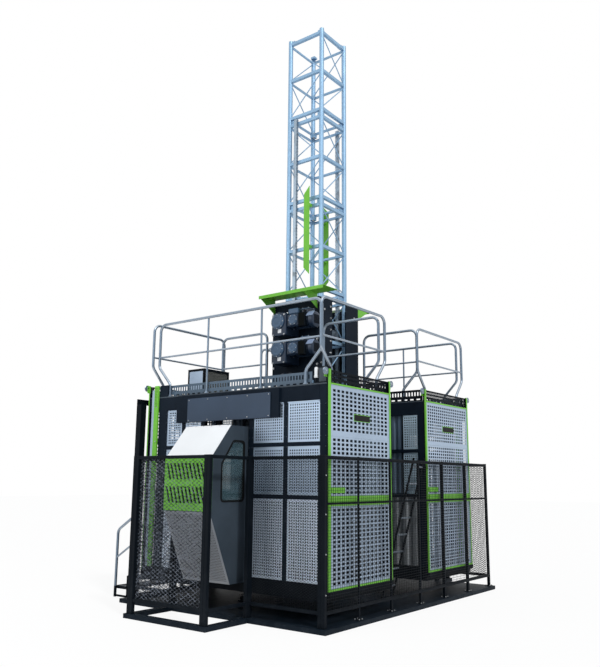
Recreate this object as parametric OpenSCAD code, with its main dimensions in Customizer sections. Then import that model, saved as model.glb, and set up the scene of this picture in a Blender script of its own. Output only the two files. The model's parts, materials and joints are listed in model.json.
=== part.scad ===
// Twin-cage rack and pinion building hoist, standing on its base frame inside a mesh enclosure.
// Millimetres, +Z up, origin on the ground at the mast's axis, doors facing -Y and +Y.

/* [Base] */
// Height of the base frame's beams
beam_h = 55; // [45:1:80]
// Width of the base frame's beams
beam_w = 150; // [120:5:200]
// Thickness of the plate that the mast stands on
seat_t = 12; // [8:1:20]
// Thickness of the floor plates between the beams
deck_t = 8; // [5:1:12]
// Distance between the anchor holes along the cross beams
anchor_pitch = 960; // [900:10:1040]
// Diameter of the anchor holes
anchor_d = 27; // [18:1:33]

/* [Mast] */
// Distance between the centres of the mast tubes
mast_pitch = 650; // [620:10:680]
// Outer diameter of the mast tubes
tube_d = 76; // [70:1:80]
// Wall of the mast tubes
tube_wall = 6; // [4:0.5:10]
// Number of mast sections, of which the top one carries no rack
section_count = 6; // [5:1:8]
// Leg of the mast's angle bars
angle_leg = 50; // [44:1:54]
// Thickness of the mast's angle bars
angle_t = 6; // [4:0.5:8]
// Diameter of the mast's diagonal rods
brace_d = 18; // [12:1:26]
// Diameter of the bolts that join the sections
joint_bolt_d = 24; // [16:1:27]
// Height of the bolt lugs at a section's ends
lug_h = 34; // [24:1:50]

/* [Rack drive] */
// Module of the rack and pinions
rack_module = 8; // [7:1:9]
// Teeth of rack on one mast section
section_teeth = 60; // [58:1:64]
// Teeth of a pinion
pinion_teeth = 15; // [15:1:17]
// Width of the rack bar
rack_w = 40; // [30:1:45]
// Depth of the rack bar behind its pitch line
rack_depth = 60; // [40:1:70]
// Distance of the rack's pitch line from the mast's middle plane
rack_line_y = 130; // [125:1:140]
// Play between the teeth of rack and pinion
backlash = 0.6; // [0.4:0.1:1.2]
// Face width of a pinion
pinion_w = 42; // [36:1:50]
// Diameter of a pinion's shaft
shaft_d = 55; // [45:1:60]
// Thickness of the drive plate
drive_plate_t = 20; // [12:1:25]
// Width of the drive plate
drive_plate_w = 896; // [880:2:960]
// Least distance between the two drive units
unit_spacing = 425; // [400:5:480]
// Height of the safety brake's axis over the roof
brake_rise = 283; // [240:1:320]
// Height of a reducer's housing
reducer_h = 365; // [320:5:380]
// Depth of a reducer's housing, away from the mast
reducer_depth = 340; // [300:5:380]
// Diameter of a motor's body
motor_d = 240; // [200:5:260]
// Length of a motor with its fan cover
motor_l = 450; // [420:10:560]
// Diameter of the safety brake's drum
brake_d = 230; // [180:5:260]
// Radius of a guide roller at the foot of its groove
roller_r = 45; // [42:1:50]
// Width of a guide roller
roller_w = 48; // [40:1:50]
// Diameter of a guide roller's axle
axle_d = 30; // [24:1:34]

/* [Cage] */
// Distance of a cage's inner wall from the mast's axis
cage_gap = 510; // [500:5:540]
// Width of a cage
cage_w = 1460; // [1400:10:1560]
// Length of a cage
cage_l = 3220; // [3160:10:3400]
// Height of the roof over the ground
roof_z = 2900; // [2850:10:3000]
// Height of the floor's frame over the ground at the lowest stop
cage_z = 310; // [290:5:340]
// Depth of the floor with its frame
floor_h = 190; // [160:5:220]
// Depth of the roof's beams
roof_beam_h = 190; // [150:5:220]
// Width of the corner posts along the long wall
post_w = 100; // [80:2:120]
// Depth of the posts across the wall
post_d = 60; // [50:1:70]
// Width of the mullions
mullion_w = 60; // [45:1:70]
// Height of the lower girt over the ground
girt_low_z = 1477; // [1400:1:1550]
// Height of the upper girt over the ground
girt_high_z = 2128; // [2000:1:2200]
// Height of the girts
girt_h = 52; // [40:1:60]
// Thickness of the wall sheets
sheet_t = 3; // [2:0.5:5]
// Pitch of the openings in the wall sheets
hole_pitch = 160; // [140:2:190]
// Share of the pitch that an opening takes
hole_share = 0.6; // [0.45:0.05:0.7]
// Height of the toe boards on the roof
toe_h = 165; // [100:5:180]
// Thickness of the toe boards
toe_t = 4; // [3:0.5:6]
// Height of the fascia board over the cab
fascia_h = 380; // [330:5:390]
// Thickness of the fascia board
fascia_t = 35; // [20:1:50]
// Thickness of the sign plate on the fascia board
sign_t = 10; // [6:1:16]
// Width of the counterweight column beside the rear door
column_w = 139; // [110:1:150]
// Depth of the counterweight column
column_d = 30; // [20:1:40]

/* [Operator cab] */
// Side of the cab nearest the front
cab_y = -345; // [-380:5:-320]
// Width of the cab
cab_w = 815; // [760:5:840]
// How far the cab stands out from the cage
cab_out = 680; // [640:5:700]
// Height of the cab's top
cab_top_z = 2400; // [2360:5:2440]
// Height of the windscreen's lower edge
cab_sill_z = 1975; // [1900:5:2000]
// Height of the lower edge of the louvred front
cab_waist_z = 1320; // [1250:5:1380]
// Height of the cab's bottom
cab_foot_z = 430; // [400:5:460]
// Thickness of the cab's side walls
cab_wall = 30; // [20:1:40]
// Thickness of the cab's front panels
cab_panel_t = 12; // [8:1:16]

/* [Doors] */
// Thickness of a door leaf
leaf_t = 32; // [24:1:36]
// Height of the door sill over the ground
sill_z = 427; // [415:1:440]
// Width of a door's guide channel
guide_w = 34; // [30:1:50]
// Wall of a door's guide channel
guide_wall = 5; // [4:0.5:8]
// Height of the stiffening beam on a leaf over the ground
leaf_beam_z = 1405; // [1380:1:1450]
// Diameter of the rope sheaves over the doors
sheave_d = 92; // [80:2:110]

/* [Roof guard rails] */
// Height of the top rail over the roof
rail_h = 1120; // [1000:10:1200]
// Height of the middle rail over the roof
rail_mid_h = 600; // [500:10:680]
// Diameter of the rail tubes
rail_d = 40; // [34:1:44]
// Diameter of the rails' inner posts and middle bars
rail_bar_d = 28; // [22:1:32]
// Radius of the rail's top corners
rail_bend_r = 110; // [80:5:140]
// How far a rail's leg steps in at its foot
rail_step = 250; // [150:5:300]

/* [Enclosure] */
// Height of the fence
fence_h = 2000; // [1900:10:2150]
// Gap between a cage's end and the line of the front fence
fence_end_gap = 95; // [90:1:150]
// Gap between the near cage's outer wall and the line of its fence
fence_near_gap = 180; // [140:5:280]
// Gap between the far cage's outer wall and the line of its fence
fence_far_gap = 480; // [430:5:580]
// Gap between a cab's front and the line of the fence before it
bay_gap = 250; // [180:5:350]
// Width of the fence posts
fence_post_w = 50; // [40:1:54]
// Width of the fence rails
fence_rail_w = 40; // [30:1:44]
// Height of the fence's lower rail
fence_low_z = 200; // [160:5:260]
// Height of the front fence's middle rail
fence_mid_z = 1430; // [1380:5:1470]
// Thickness of the fence's mesh
mesh_t = 4; // [3:0.5:6]
// Pitch of the mesh in the sheets
mesh_pitch = 270; // [230:5:300]
// Width of a strand of the mesh
mesh_strand = 30; // [20:1:40]
// Height of the gate columns
portal_h = 2800; // [2700:10:2900]
// Width of the gate columns
portal_w = 100; // [80:2:110]
// Thickness of a gate leaf
gate_t = 36; // [28:1:40]

/* [Buffers, ladder and stairs] */
// Diameter of a buffer spring at the middle of its wire
spring_d = 120; // [100:2:140]
// Diameter of a buffer spring's wire
wire_d = 16; // [12:1:18]
// Turns of a buffer spring
spring_turns = 5; // [4:1:6]
// Width of the ladder
ladder_w = 290; // [240:5:340]
// Distance between the ladder's rungs
rung_pitch = 300; // [250:5:320]
// Width of the stairs
stair_w = 1300; // [1200:10:1400]
// Height of a stair's step
step_h = 155; // [140:5:165]
// Depth of a stair's step
step_d = 260; // [230:5:300]

/* [Hidden] */
$fn = 48;

// Gap between separate pieces that are bolted or welded face to face
seat = 0.2;
// Running gap between curved faces
run = 0.3;
// Radial play of a shaft in its bore
play = 0.05;

dark = "#20262e";
slate = "#3a424b";
alu = "#c3cbd2";
galv = "#9fb0bd";
lime = "#6cbf2e";

foot_z = beam_h + seat_t;
half = mast_pitch / 2;
tooth_pitch = PI * rack_module;
section_h = section_teeth * tooth_pitch;
rack_face = half + angle_leg / 2;
pitch_r = rack_module * pinion_teeth / 2;
pinion_y = rack_line_y - pitch_r;
pinion_x = -(rack_face + 3);
level_low = lug_h + 6;
level_mid = section_h / 2 - angle_leg / 2;
level_high = section_h - lug_h - 6 - angle_leg;
bolt_in = tube_d / 2 + 18;
lug_reach = bolt_in + joint_bolt_d;

inner_x = -cage_gap;
outer_x = -(cage_gap + cage_w);
mid_x = (inner_x + outer_x) / 2;
end_y = cage_l / 2;
floor_z = cage_z + floor_h;
beam_z = roof_z - roof_beam_h - 20;
roof_t = 20;
wall_x = outer_x + 12;
cab_end_y = cab_y + cab_w;
jamb_w = 70;
jamb_front = [cab_y - 15 - jamb_w, cab_y - 15];
jamb_rear = [cab_end_y, cab_end_y + jamb_w];
column_end = end_y - 57;
rear_post = [column_end - column_w - 6 - 1.7 * post_w, column_end - column_w - 6];
front_post = [-end_y, -end_y + post_w];
front_mullion = (front_post[1] + jamb_front[0]) / 2;
rear_mullion = (jamb_rear[1] + rear_post[0]) / 2;
roller_post_y = half + 60;
roller_post_w = 60;
inner_mullion = (end_y - post_w + roller_post_y + roller_post_w / 2) / 2 + 30;

plate_x = -(cage_gap + 10);
plate_out = plate_x - drive_plate_t;
brake_z = foot_z + tooth_pitch * round((roof_z + brake_rise - foot_z) / tooth_pitch);
lower_z = brake_z + tooth_pitch * ceil((unit_spacing + 25) / tooth_pitch);
upper_z = lower_z + tooth_pitch * ceil(unit_spacing / tooth_pitch);
plate_top = upper_z + 400;
plate_low = lower_z - 270;
reducer_x = plate_out - seat;
reducer_mid_x = reducer_x - reducer_depth / 2;
reducer_front_y = pinion_y - 150;
reducer_back_y = pinion_y + 120;
canopy_z = plate_top + 40;
roller_x = -(half + tube_d / 2 + run + roller_r);
rollers_high_z = plate_top - 180;
rollers_low_z = floor_z + 250;

guide_d = leaf_t + 2 * run + 2 * guide_wall;
door_y = -(end_y + seat + guide_d / 2);
leaf_x0 = outer_x + guide_wall + 4;
leaf_x1 = inner_x - guide_wall - 4;
leaf_top = roof_z - 4;
guide_top = roof_z + toe_h;

rail_inset = 48;
fence_y = end_y + fence_end_gap;
fence_near_x = cage_gap + cage_w + fence_near_gap;
fence_far_x = cage_gap + cage_w + fence_far_gap;
bay_x = cage_gap + cage_w + cab_out + bay_gap;
fence_posts = [-fence_near_x, -fence_near_x * 0.665, -cage_gap * 1.29, cage_gap * 0.255, fence_far_x * 0.355,
    fence_far_x * 0.678, fence_far_x];
bay_front_y = cab_y - 225;
bay_rear_y = cab_end_y + 290;
gate_x0 = cage_gap - 10;
gate_x1 = cage_gap + cage_w + 10;
portal_y = fence_y + 30;

// A box between two corners
module block(lo, hi) translate(lo) cube([hi[0] - lo[0], hi[1] - lo[1], hi[2] - lo[2]]);

// An outline in (Y, Z) that is extruded along +X
module in_yz() rotate([90, 0, 90]) children();

// An outline in (X, Z) that is extruded along -Y
module in_xz() rotate([90, 0, 0]) children();

// The far cage is the near one turned about the mast
module far() rotate(180) children();

// A round bar between two points
module rod(a, b, d) {
    v = b - a;
    translate(a) rotate([0, acos(v[2] / norm(v)), atan2(v[1], v[0])]) cylinder(h = norm(v), d = d);
}

function unit(v) = v / norm(v);

// Points of the arc that rounds corner b of the outline a, b, c
function corner_arc(a, b, c, r, n) = let (
    u = unit(a - b), w = unit(c - b), h = acos(u * w) / 2,
    m = b + unit(u + w) * r / sin(h), p = b + u * r / tan(h), q = b + w * r / tan(h),
    s = atan2(p[1] - m[1], p[0] - m[0]), e = atan2(q[1] - m[1], q[0] - m[0]) - s,
    turn = e > 180 ? e - 360 : e < -180 ? e + 360 : e)
    [for (i = [0:n]) m + r * [cos(s + turn * i / n), sin(s + turn * i / n)]];

function rounded(points, r, n = 5) = [for (i = [0:len(points) - 1])
    each corner_arc(points[(i + len(points) - 1) % len(points)], points[i], points[(i + 1) % len(points)], r, n)];

// A sheet of the given size with a centred field of square openings
module perforated(w, h, pitch, margin) {
    nx = max(1, floor((w - 2 * margin) / pitch));
    nz = max(1, floor((h - 2 * margin) / pitch));
    side = pitch * hole_share;
    difference() {
        square([w, h]);
        for (i = [0:nx - 1], j = [0:nz - 1])
            translate([w / 2 + (i - (nx - 1) / 2) * pitch, h / 2 + (j - (nz - 1) / 2) * pitch])
                square(side, center = true);
    }
}

// A sheet of diamond mesh between its edge strips
module diamond_mesh(w, h) {
    nx = max(1, round((w - mesh_strand) / mesh_pitch));
    nz = max(1, round((h - mesh_strand) / (mesh_pitch * 1.2)));
    px = (w - mesh_strand) / nx;
    pz = (h - mesh_strand) / nz;
    a = px / 2 - mesh_strand * 0.6;
    b = pz / 2 - mesh_strand * 0.6;
    difference() {
        square([w, h]);
        for (i = [0:nx - 1], j = [0:nz - 1])
            translate([mesh_strand / 2 + (i + 0.5) * px, mesh_strand / 2 + (j + 0.5) * pz])
                polygon([[-a, 0], [0, -b], [a, 0], [0, b]]);
    }
}

// A tube along points in the XY plane, its straight lengths butting on round bends
function turn_at(p, i) = let (a = p[i] - p[i - 1], b = p[i + 1] - p[i])
    atan2(a[0] * b[1] - a[1] * b[0], a * b);
function trim_at(p, i, r) = i == 0 || i == len(p) - 1 ? 0 : r * tan(abs(turn_at(p, i)) / 2);

module bent_tube(p, d, r) {
    for (i = [0:len(p) - 2]) {
        dir = unit(p[i + 1] - p[i]);
        a = p[i] + dir * (trim_at(p, i, r) + (i == 0 ? 0 : seat));
        b = p[i + 1] - dir * (trim_at(p, i + 1, r) + (i == len(p) - 2 ? 0 : seat));
        rod([a[0], a[1], 0], [b[0], b[1], 0], d);
    }
    for (i = [1:len(p) - 2]) {
        dir = unit(p[i] - p[i - 1]);
        turn = turn_at(p, i);
        side = turn > 0 ? 1 : -1;
        m = p[i] - dir * trim_at(p, i, r) + side * r * [-dir[1], dir[0]];
        from = atan2(dir[1], dir[0]) - side * 90;
        translate([m[0], m[1], 0]) rotate(turn > 0 ? from : from + turn)
            rotate_extrude(angle = abs(turn)) translate([r, 0]) circle(d = d);
    }
}

// Base frame: sills under the fence, cross beams under the mast and buffers, floor plates, seat plate, spring cups
module sill(lo, hi) block([lo[0], lo[1], 0], [hi[0], hi[1], beam_h]);

module base_frame() color(dark) {
    w = beam_w / 2;
    for (s = [-1, 1]) sill([-fence_near_x - w, s * fence_y - w], [fence_far_x + w, s * fence_y + w]);
    for (x = [-fence_near_x, fence_far_x]) sill([x - w, -fence_y + w + seat], [x + w, fence_y - w - seat]);
    difference() {
        for (s = [-1, 1]) sill([-fence_near_x + w + seat, s * half - w], [fence_far_x - w - seat, s * half + w]);
        anchor_holes();
    }
    deck_y = [-fence_y, -half, half, fence_y];
    for (i = [0:2]) block([-fence_near_x + w + seat, deck_y[i] + w + seat, beam_h - deck_t],
        [fence_far_x - w - seat, deck_y[i + 1] - w - seat, beam_h]);
    bay_sills(-bay_x, -fence_near_x - w - seat, bay_front_y, bay_rear_y);
    bay_sills(bay_x, fence_far_x + w + seat, -bay_rear_y, -bay_front_y);
    difference() {
        block([-anchor_pitch / 2 - 60, -half - w, beam_h + seat], [anchor_pitch / 2 + 60, half + w, foot_z]);
        anchor_holes();
    }
    for (x = [-1, 1], y = [-1, 1]) translate([x * mid_x, y * half, beam_h + seat]) spring_cup();
}

module anchor_holes() for (x = [-1, 1], y = [-1, 1])
    translate([x * anchor_pitch / 2, y * half, -1]) cylinder(h = foot_z + 2, d = anchor_d);

// Sills of the bay in the fence in front of a cab
module bay_sills(out, in, y0, y1) {
    s = sign(out);
    w = fence_post_w;
    sill([out - w, y0 - w], [out + w, y1 + w]);
    for (y = [y0, y1]) {
        a = out - s * (w + seat);
        sill([min(a, in), y - w], [max(a, in), y + w]);
    }
}

module spring_cup() {
    cylinder(h = 12, d = spring_d + wire_d + 30);
    cylinder(h = cup_h, d = spring_d - wire_d - 10);
}

cup_h = 60;

// Mast
module mast_tubes(h, d) for (x = [-1, 1], y = [-1, 1]) translate([x * half, y * half, 0]) cylinder(h = h, d = d);

module angle_bar() in_yz() linear_extrude(mast_pitch, center = true)
    polygon([[-angle_leg / 2, 0], [angle_leg / 2, 0], [angle_leg / 2, angle_t], [-angle_leg / 2 + angle_t, angle_t],
        [-angle_leg / 2 + angle_t, angle_leg], [-angle_leg / 2, angle_leg]]);

module mast_section(i) translate([0, 0, foot_z + i * section_h]) {
    h = section_h - seat;
    difference() {
        union() {
            mast_tubes(h, tube_d);
            for (q = [0:3]) rotate(90 * q) translate([0, -half, 0]) {
                for (z = [level_low, level_mid, level_high]) translate([0, 0, z]) angle_bar();
                rod([-half, 0, level_low + angle_leg], [half, 0, level_mid], brace_d);
                rod([half, 0, level_mid + angle_leg], [-half, 0, level_high], brace_d);
            }
            for (x = [-1, 1], y = [-1, 1], z = [0, h - lug_h])
                translate([x * (half - lug_reach / 2), y * (half - lug_reach / 2), z + lug_h / 2])
                    cube([lug_reach, lug_reach, lug_h], center = true);
        }
        translate([0, 0, -1]) mast_tubes(h + 2, tube_d - 2 * tube_wall);
        for (x = [-1, 1], y = [-1, 1]) translate([x * (half - bolt_in), y * (half - bolt_in), -1])
            cylinder(h = h + 2, d = joint_bolt_d + 2);
    }
}

module mast_base_section() color(galv) mast_section(0);
module mast_mid_sections() color(galv) for (i = [1:section_count - 2]) mast_section(i);
module mast_top_section() color(galv) mast_section(section_count - 1);

module joint_bolt() {
    head_h = joint_bolt_d * 0.65;
    translate([0, 0, lug_h]) cylinder(h = head_h, d = joint_bolt_d * 1.75, $fn = 6);
    translate([0, 0, -lug_h - seat - head_h - 6]) cylinder(h = 2 * lug_h + seat + head_h + 6, d = joint_bolt_d);
    translate([0, 0, -lug_h - seat - head_h]) cylinder(h = head_h, d = joint_bolt_d * 1.75, $fn = 6);
}

module mast_bolts() color("#8b949c")
    for (i = [1:section_count - 1], x = [-1, 1], y = [-1, 1])
        translate([x * (half - bolt_in), y * (half - bolt_in), foot_z + i * section_h]) joint_bolt();

// Rack with straight-sided teeth, one bar to a mast section
rack_add = 0.85 * rack_module;
rack_ded = 1.25 * rack_module;
pressure = 20;
rack_half = tooth_pitch / 4 - backlash / 4;

function rack_tooth(z) = [
    [rack_line_y + rack_ded, z - rack_half - rack_ded * tan(pressure)],
    [rack_line_y - rack_add, z - rack_half + rack_add * tan(pressure)],
    [rack_line_y - rack_add, z + rack_half - rack_add * tan(pressure)],
    [rack_line_y + rack_ded, z + rack_half + rack_ded * tan(pressure)]];

module rack_bar(i) translate([-rack_face - rack_w, 0, foot_z + i * section_h]) in_yz() linear_extrude(rack_w)
    polygon(concat(
        [[rack_line_y + rack_depth, seat / 2], [rack_line_y + rack_ded, seat / 2]],
        [for (k = [0:section_teeth - 1]) each rack_tooth((k + 0.5) * tooth_pitch)],
        [[rack_line_y + rack_ded, section_h - seat / 2], [rack_line_y + rack_depth, section_h - seat / 2]]));

module racks() color("#7d868d") for (i = [0:section_count - 2]) {
    rack_bar(i);
    far() rack_bar(i);
}

// Pinion with involute teeth, one of them pointing at the rack
base_r = pitch_r * cos(pressure);
function roll(r) = let (a = acos(min(1, base_r / r))) tan(a) * 180 / PI - a;
function tooth_half(r) = 90 / pinion_teeth - backlash / 4 / pitch_r * 180 / PI + roll(pitch_r) - roll(r);
pinion_radii = [pitch_r - 1.25 * rack_module, base_r, pitch_r - 1, pitch_r + 0.5 * rack_module,
    pitch_r + rack_module];

module pinion_outline() polygon([for (k = [0:pinion_teeth - 1]) each let (c = k * 360 / pinion_teeth) concat(
    [for (r = pinion_radii) let (t = c - tooth_half(max(r, base_r))) r * [cos(t), sin(t)]],
    [for (i = [len(pinion_radii) - 1:-1:0]) let (r = pinion_radii[i], t = c + tooth_half(max(r, base_r)))
        r * [cos(t), sin(t)]])]);

shaft_end = plate_out - 25;
module pinion(z) translate([0, pinion_y, z]) color("#6f777e") {
    translate([pinion_x - pinion_w, 0, 0]) in_yz() linear_extrude(pinion_w) pinion_outline();
    translate([plate_x + 6, 0, 0]) rotate([0, 90, 0]) cylinder(h = pinion_x - pinion_w - plate_x - 6, d = shaft_d + 22);
    translate([shaft_end, 0, 0]) rotate([0, 90, 0]) cylinder(h = pinion_x - pinion_w - shaft_end, d = shaft_d);
}

module shaft_hole(z, from, to, d) translate([from, pinion_y, z]) rotate([0, 90, 0]) cylinder(h = to - from, d = d);

// Guide rollers on the mast tubes, each with its axle
groove_r = tube_d / 2 + run;
rim_r = roller_r + groove_r - sqrt(groove_r * groove_r - roller_w * roller_w / 4);
axle_in = roller_w / 2 + 4;

module guide_roller(reach) rotate([-90, 0, 0]) {
    rotate_extrude() difference() {
        translate([0, -roller_w / 2]) square([rim_r, roller_w]);
        translate([roller_r + groove_r, 0]) circle(r = groove_r);
    }
    cylinder(h = reach, d = axle_d);
    cylinder(h = axle_in + 6, d = axle_d + 14);
}

module guide_rollers(z, reach) color("#59616a") for (s = [-1, 1]) translate([roller_x, s * half, z])
    rotate(s > 0 ? 0 : 180) guide_roller(reach);

// Limit cam on the mast: a bar with slanted ends on two brackets
cam_y = -135;
cam_w = 110;
cam_x = -(rack_face + rack_w + 60);
cam_z = foot_z + 3 * section_h + 280;
cam_l = 1460;
module limit_cam() {
    translate([cam_x - 6, 0, 0]) in_yz() linear_extrude(6)
        polygon([[cam_y - cam_w / 2, cam_z], [cam_y + cam_w / 2, cam_z + 120], [cam_y + cam_w / 2, cam_z + cam_l - 120],
            [cam_y - cam_w / 2, cam_z + cam_l]]);
    for (level = [level_mid, level_high]) {
        z = foot_z + 3 * section_h + level;
        block([cam_x + seat, cam_y - 25, z], [-rack_face - seat, cam_y + 25, z + angle_leg]);
    }
}

module limit_cams() color(lime) {
    limit_cam();
    far() limit_cam();
}

// Buffer springs: one swept wire of round section to each
spring_sides = 6;
spring_rings = 8;
wire_flat = wire_d / 2 * cos(180 / spring_sides);
spring_low = beam_h + seat + 12 + run + wire_flat;
cap_t = 10;
spring_high = cage_z - seat - cap_t - run - wire_flat;
spring_n = spring_turns * spring_rings;
spring_pitch = (spring_high - spring_low) / spring_turns;
spring_lean = atan(spring_pitch / (PI * spring_d));

function spring_ring(i) = let (t = 360 * i / spring_rings, c = [cos(t), sin(t), 0] * spring_d / 2
        + [0, 0, spring_low + spring_pitch * i / spring_rings],
    out = [cos(t), sin(t), 0], up = [sin(t) * sin(spring_lean), -cos(t) * sin(spring_lean), cos(spring_lean)])
    [for (k = [0:spring_sides - 1]) c + wire_d / 2 * (cos(360 * k / spring_sides) * out + sin(360 * k / spring_sides) * up)];

module buffer_spring() {
    points = concat([for (i = [0:spring_n]) each spring_ring(i)],
        [[spring_d / 2, 0, spring_low], [spring_d / 2, 0, spring_high]]);
    ends = len(points) - 2;
    faces = concat(
        [for (i = [0:spring_n - 1], k = [0:spring_sides - 1]) let (a = i * spring_sides + k,
            b = i * spring_sides + (k + 1) % spring_sides) each [[a, b, a + spring_sides], [b, b + spring_sides, a + spring_sides]]],
        [for (k = [0:spring_sides - 1]) [ends, (k + 1) % spring_sides, k]],
        [for (k = [0:spring_sides - 1]) let (r = spring_n * spring_sides) [ends + 1, r + k, r + (k + 1) % spring_sides]]);
    polyhedron(points, faces, convexity = 8);
}

// Least gap between neighbouring turns of a buffer spring
echo(spring_self_gap = min([for (i = [0:spring_n - spring_rings], j = [i + spring_rings - 2:min(i + spring_rings + 2, spring_n)])
    norm([for (c = [0:2]) (spring_ring(i)[0][c] + spring_ring(i)[3][c] - spring_ring(j)[0][c] - spring_ring(j)[3][c]) / 2])
        - wire_d]));

module buffer_springs() color("#8f1f1f") for (x = [-1, 1], y = [-1, 1]) translate([x * mid_x, y * half, 0]) {
    buffer_spring();
    translate([0, 0, cage_z - seat - cap_t]) cylinder(h = cap_t, d = spring_d + wire_d + 20);
}

// Cage floor: perimeter and joists under a plate, with a ledge under each door
module floor_tray() color(dark) {
    block([outer_x, -end_y, floor_z - 20], [inner_x, end_y, floor_z]);
    for (x = [outer_x, inner_x - post_d]) block([x, -end_y, cage_z], [x + post_d, end_y, floor_z - 19]);
    for (y = [-end_y, end_y - post_d]) block([outer_x + 1, y, cage_z], [inner_x - 1, y + post_d, floor_z - 19]);
    for (y = [-half, half]) block([outer_x + 1, y - 80, cage_z], [inner_x - 1, y + 80, floor_z - 19]);
    for (s = [-1, 1]) block([outer_x + 1, s > 0 ? end_y - 1 : -end_y - guide_d - 8, sill_z - 60],
        [inner_x - 1, s > 0 ? end_y + guide_d + 8 : -end_y + 1, sill_z - seat]);
}

// Cage frame
module upright(x, y0, y1) block([x, y0, floor_z + seat], [x + post_d, y1, beam_z - seat]);
module girt(x, y0, y1) for (z = [girt_low_z, girt_high_z])
    block([x, y0 + seat, z], [x + post_d, y1 - seat, z + girt_h]);

outer_posts = [front_post, [front_mullion - mullion_w / 2, front_mullion + mullion_w / 2], jamb_front, jamb_rear,
    [rear_mullion - mullion_w / 2, rear_mullion + mullion_w / 2], rear_post];
inner_posts = [front_post, [-inner_mullion - mullion_w / 2, -inner_mullion + mullion_w / 2],
    [-roller_post_y - roller_post_w / 2, -roller_post_y + roller_post_w / 2],
    [roller_post_y - roller_post_w / 2, roller_post_y + roller_post_w / 2],
    [inner_mullion - mullion_w / 2, inner_mullion + mullion_w / 2], [end_y - post_w, end_y]];
cab_bay = 2;

module cage_frame() color(dark) {
    for (p = outer_posts) upright(outer_x, p[0], p[1]);
    for (i = [0:len(outer_posts) - 2]) if (i != cab_bay) girt(outer_x, outer_posts[i][1], outer_posts[i + 1][0]);
    for (p = inner_posts) upright(inner_x - post_d, p[0], p[1]);
    for (i = [0:len(inner_posts) - 2]) girt(inner_x - post_d, inner_posts[i][1], inner_posts[i + 1][0]);
    for (x = [outer_x, inner_x - post_d]) block([x, -end_y, beam_z], [x + post_d, end_y, roof_z - roof_t - seat]);
    for (y = [-end_y, end_y - post_d])
        block([outer_x + post_d + seat, y, beam_z], [inner_x - post_d - seat, y + post_d, roof_z - roof_t - seat]);
    block([outer_x - fascia_t, front_mullion + 85, roof_z - roof_t - fascia_h], [outer_x - seat, rear_mullion + 115, roof_z - roof_t]);
    block([outer_x - fascia_t - seat - sign_t, front_mullion + 270, roof_z - roof_t - fascia_h],
        [outer_x - fascia_t - seat, rear_mullion - 119, roof_z - roof_t - 50]);
    block([outer_x, rear_post[0], roof_z + seat], [outer_x + 24, rear_post[1], guide_top]);
    for (s = [-1, 1]) roller_bracket(s);
}

// Plate that carries a lower guide roller's axle
bracket_y = half + roller_w / 2 + 14;
bracket_t = 14;
module roller_bracket(s) difference() {
    block([inner_x + seat, s > 0 ? bracket_y : -bracket_y - bracket_t, rollers_low_z - 90],
        [roller_x + 45, s > 0 ? bracket_y + bracket_t : -bracket_y, rollers_low_z + 90]);
    translate([roller_x, 0, rollers_low_z]) rotate([90, 0, 0]) cylinder(h = 4 * half, d = axle_d + 2 * play, center = true);
}

// Wall sheets
rows = [[floor_z, girt_low_z], [girt_low_z + girt_h, girt_high_z], [girt_high_z + girt_h, beam_z]];
rib_pitch = 150;
rib_depth = 22;

module wall_sheet(x, y0, y1, z0, z1) translate([x, y0 + seat, z0 + seat]) in_yz() linear_extrude(sheet_t)
    perforated(y1 - y0 - 2 * seat, z1 - z0 - 2 * seat, hole_pitch, 20);

function rib_line(w, n, lift) = [for (i = [0:n - 1]) each [[lift, (i + 0.1) * w / n], [lift + rib_depth, (i + 0.25) * w / n],
    [lift + rib_depth, (i + 0.6) * w / n], [lift, (i + 0.75) * w / n]]];
function backward(list) = [for (i = [len(list) - 1:-1:0]) list[i]];

module ribbed_sheet(x, y0, y1, z0, z1) {
    w = y1 - y0 - 2 * seat;
    n = max(1, round(w / rib_pitch));
    translate([x, y0 + seat, z0 + seat]) linear_extrude(z1 - z0 - 2 * seat)
        polygon(concat([[0, 0]], rib_line(w, n, 0), [[0, w], [sheet_t, w]], backward(rib_line(w, n, sheet_t)), [[sheet_t, 0]]));
}

module cage_panels() color(alu) {
    for (i = [0:len(outer_posts) - 2], r = rows) if (i != cab_bay)
        wall_sheet(wall_x, outer_posts[i][1], outer_posts[i + 1][0], r[0], r[1]);
    for (i = [0:len(inner_posts) - 2], r = rows) {
        if ((i == 0 || i == len(inner_posts) - 2) && r != rows[0])
            wall_sheet(inner_x - 15, inner_posts[i][1], inner_posts[i + 1][0], r[0], r[1]);
        else
            ribbed_sheet(inner_x - post_d + 10, inner_posts[i][1], inner_posts[i + 1][0], r[0], r[1]);
    }
}

// Roof sheet with its hatch and the slotted toe boards round it
module toe_board(l) difference() {
    cube([l, toe_t, toe_h - seat]);
    n = max(1, floor((l - 120) / 110));
    for (i = [0:n - 1]) translate([l / 2 + (i - (n - 1) / 2) * 110 - 20, -1, toe_h * 0.35]) cube([40, toe_t + 2, toe_h * 0.35]);
}

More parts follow.
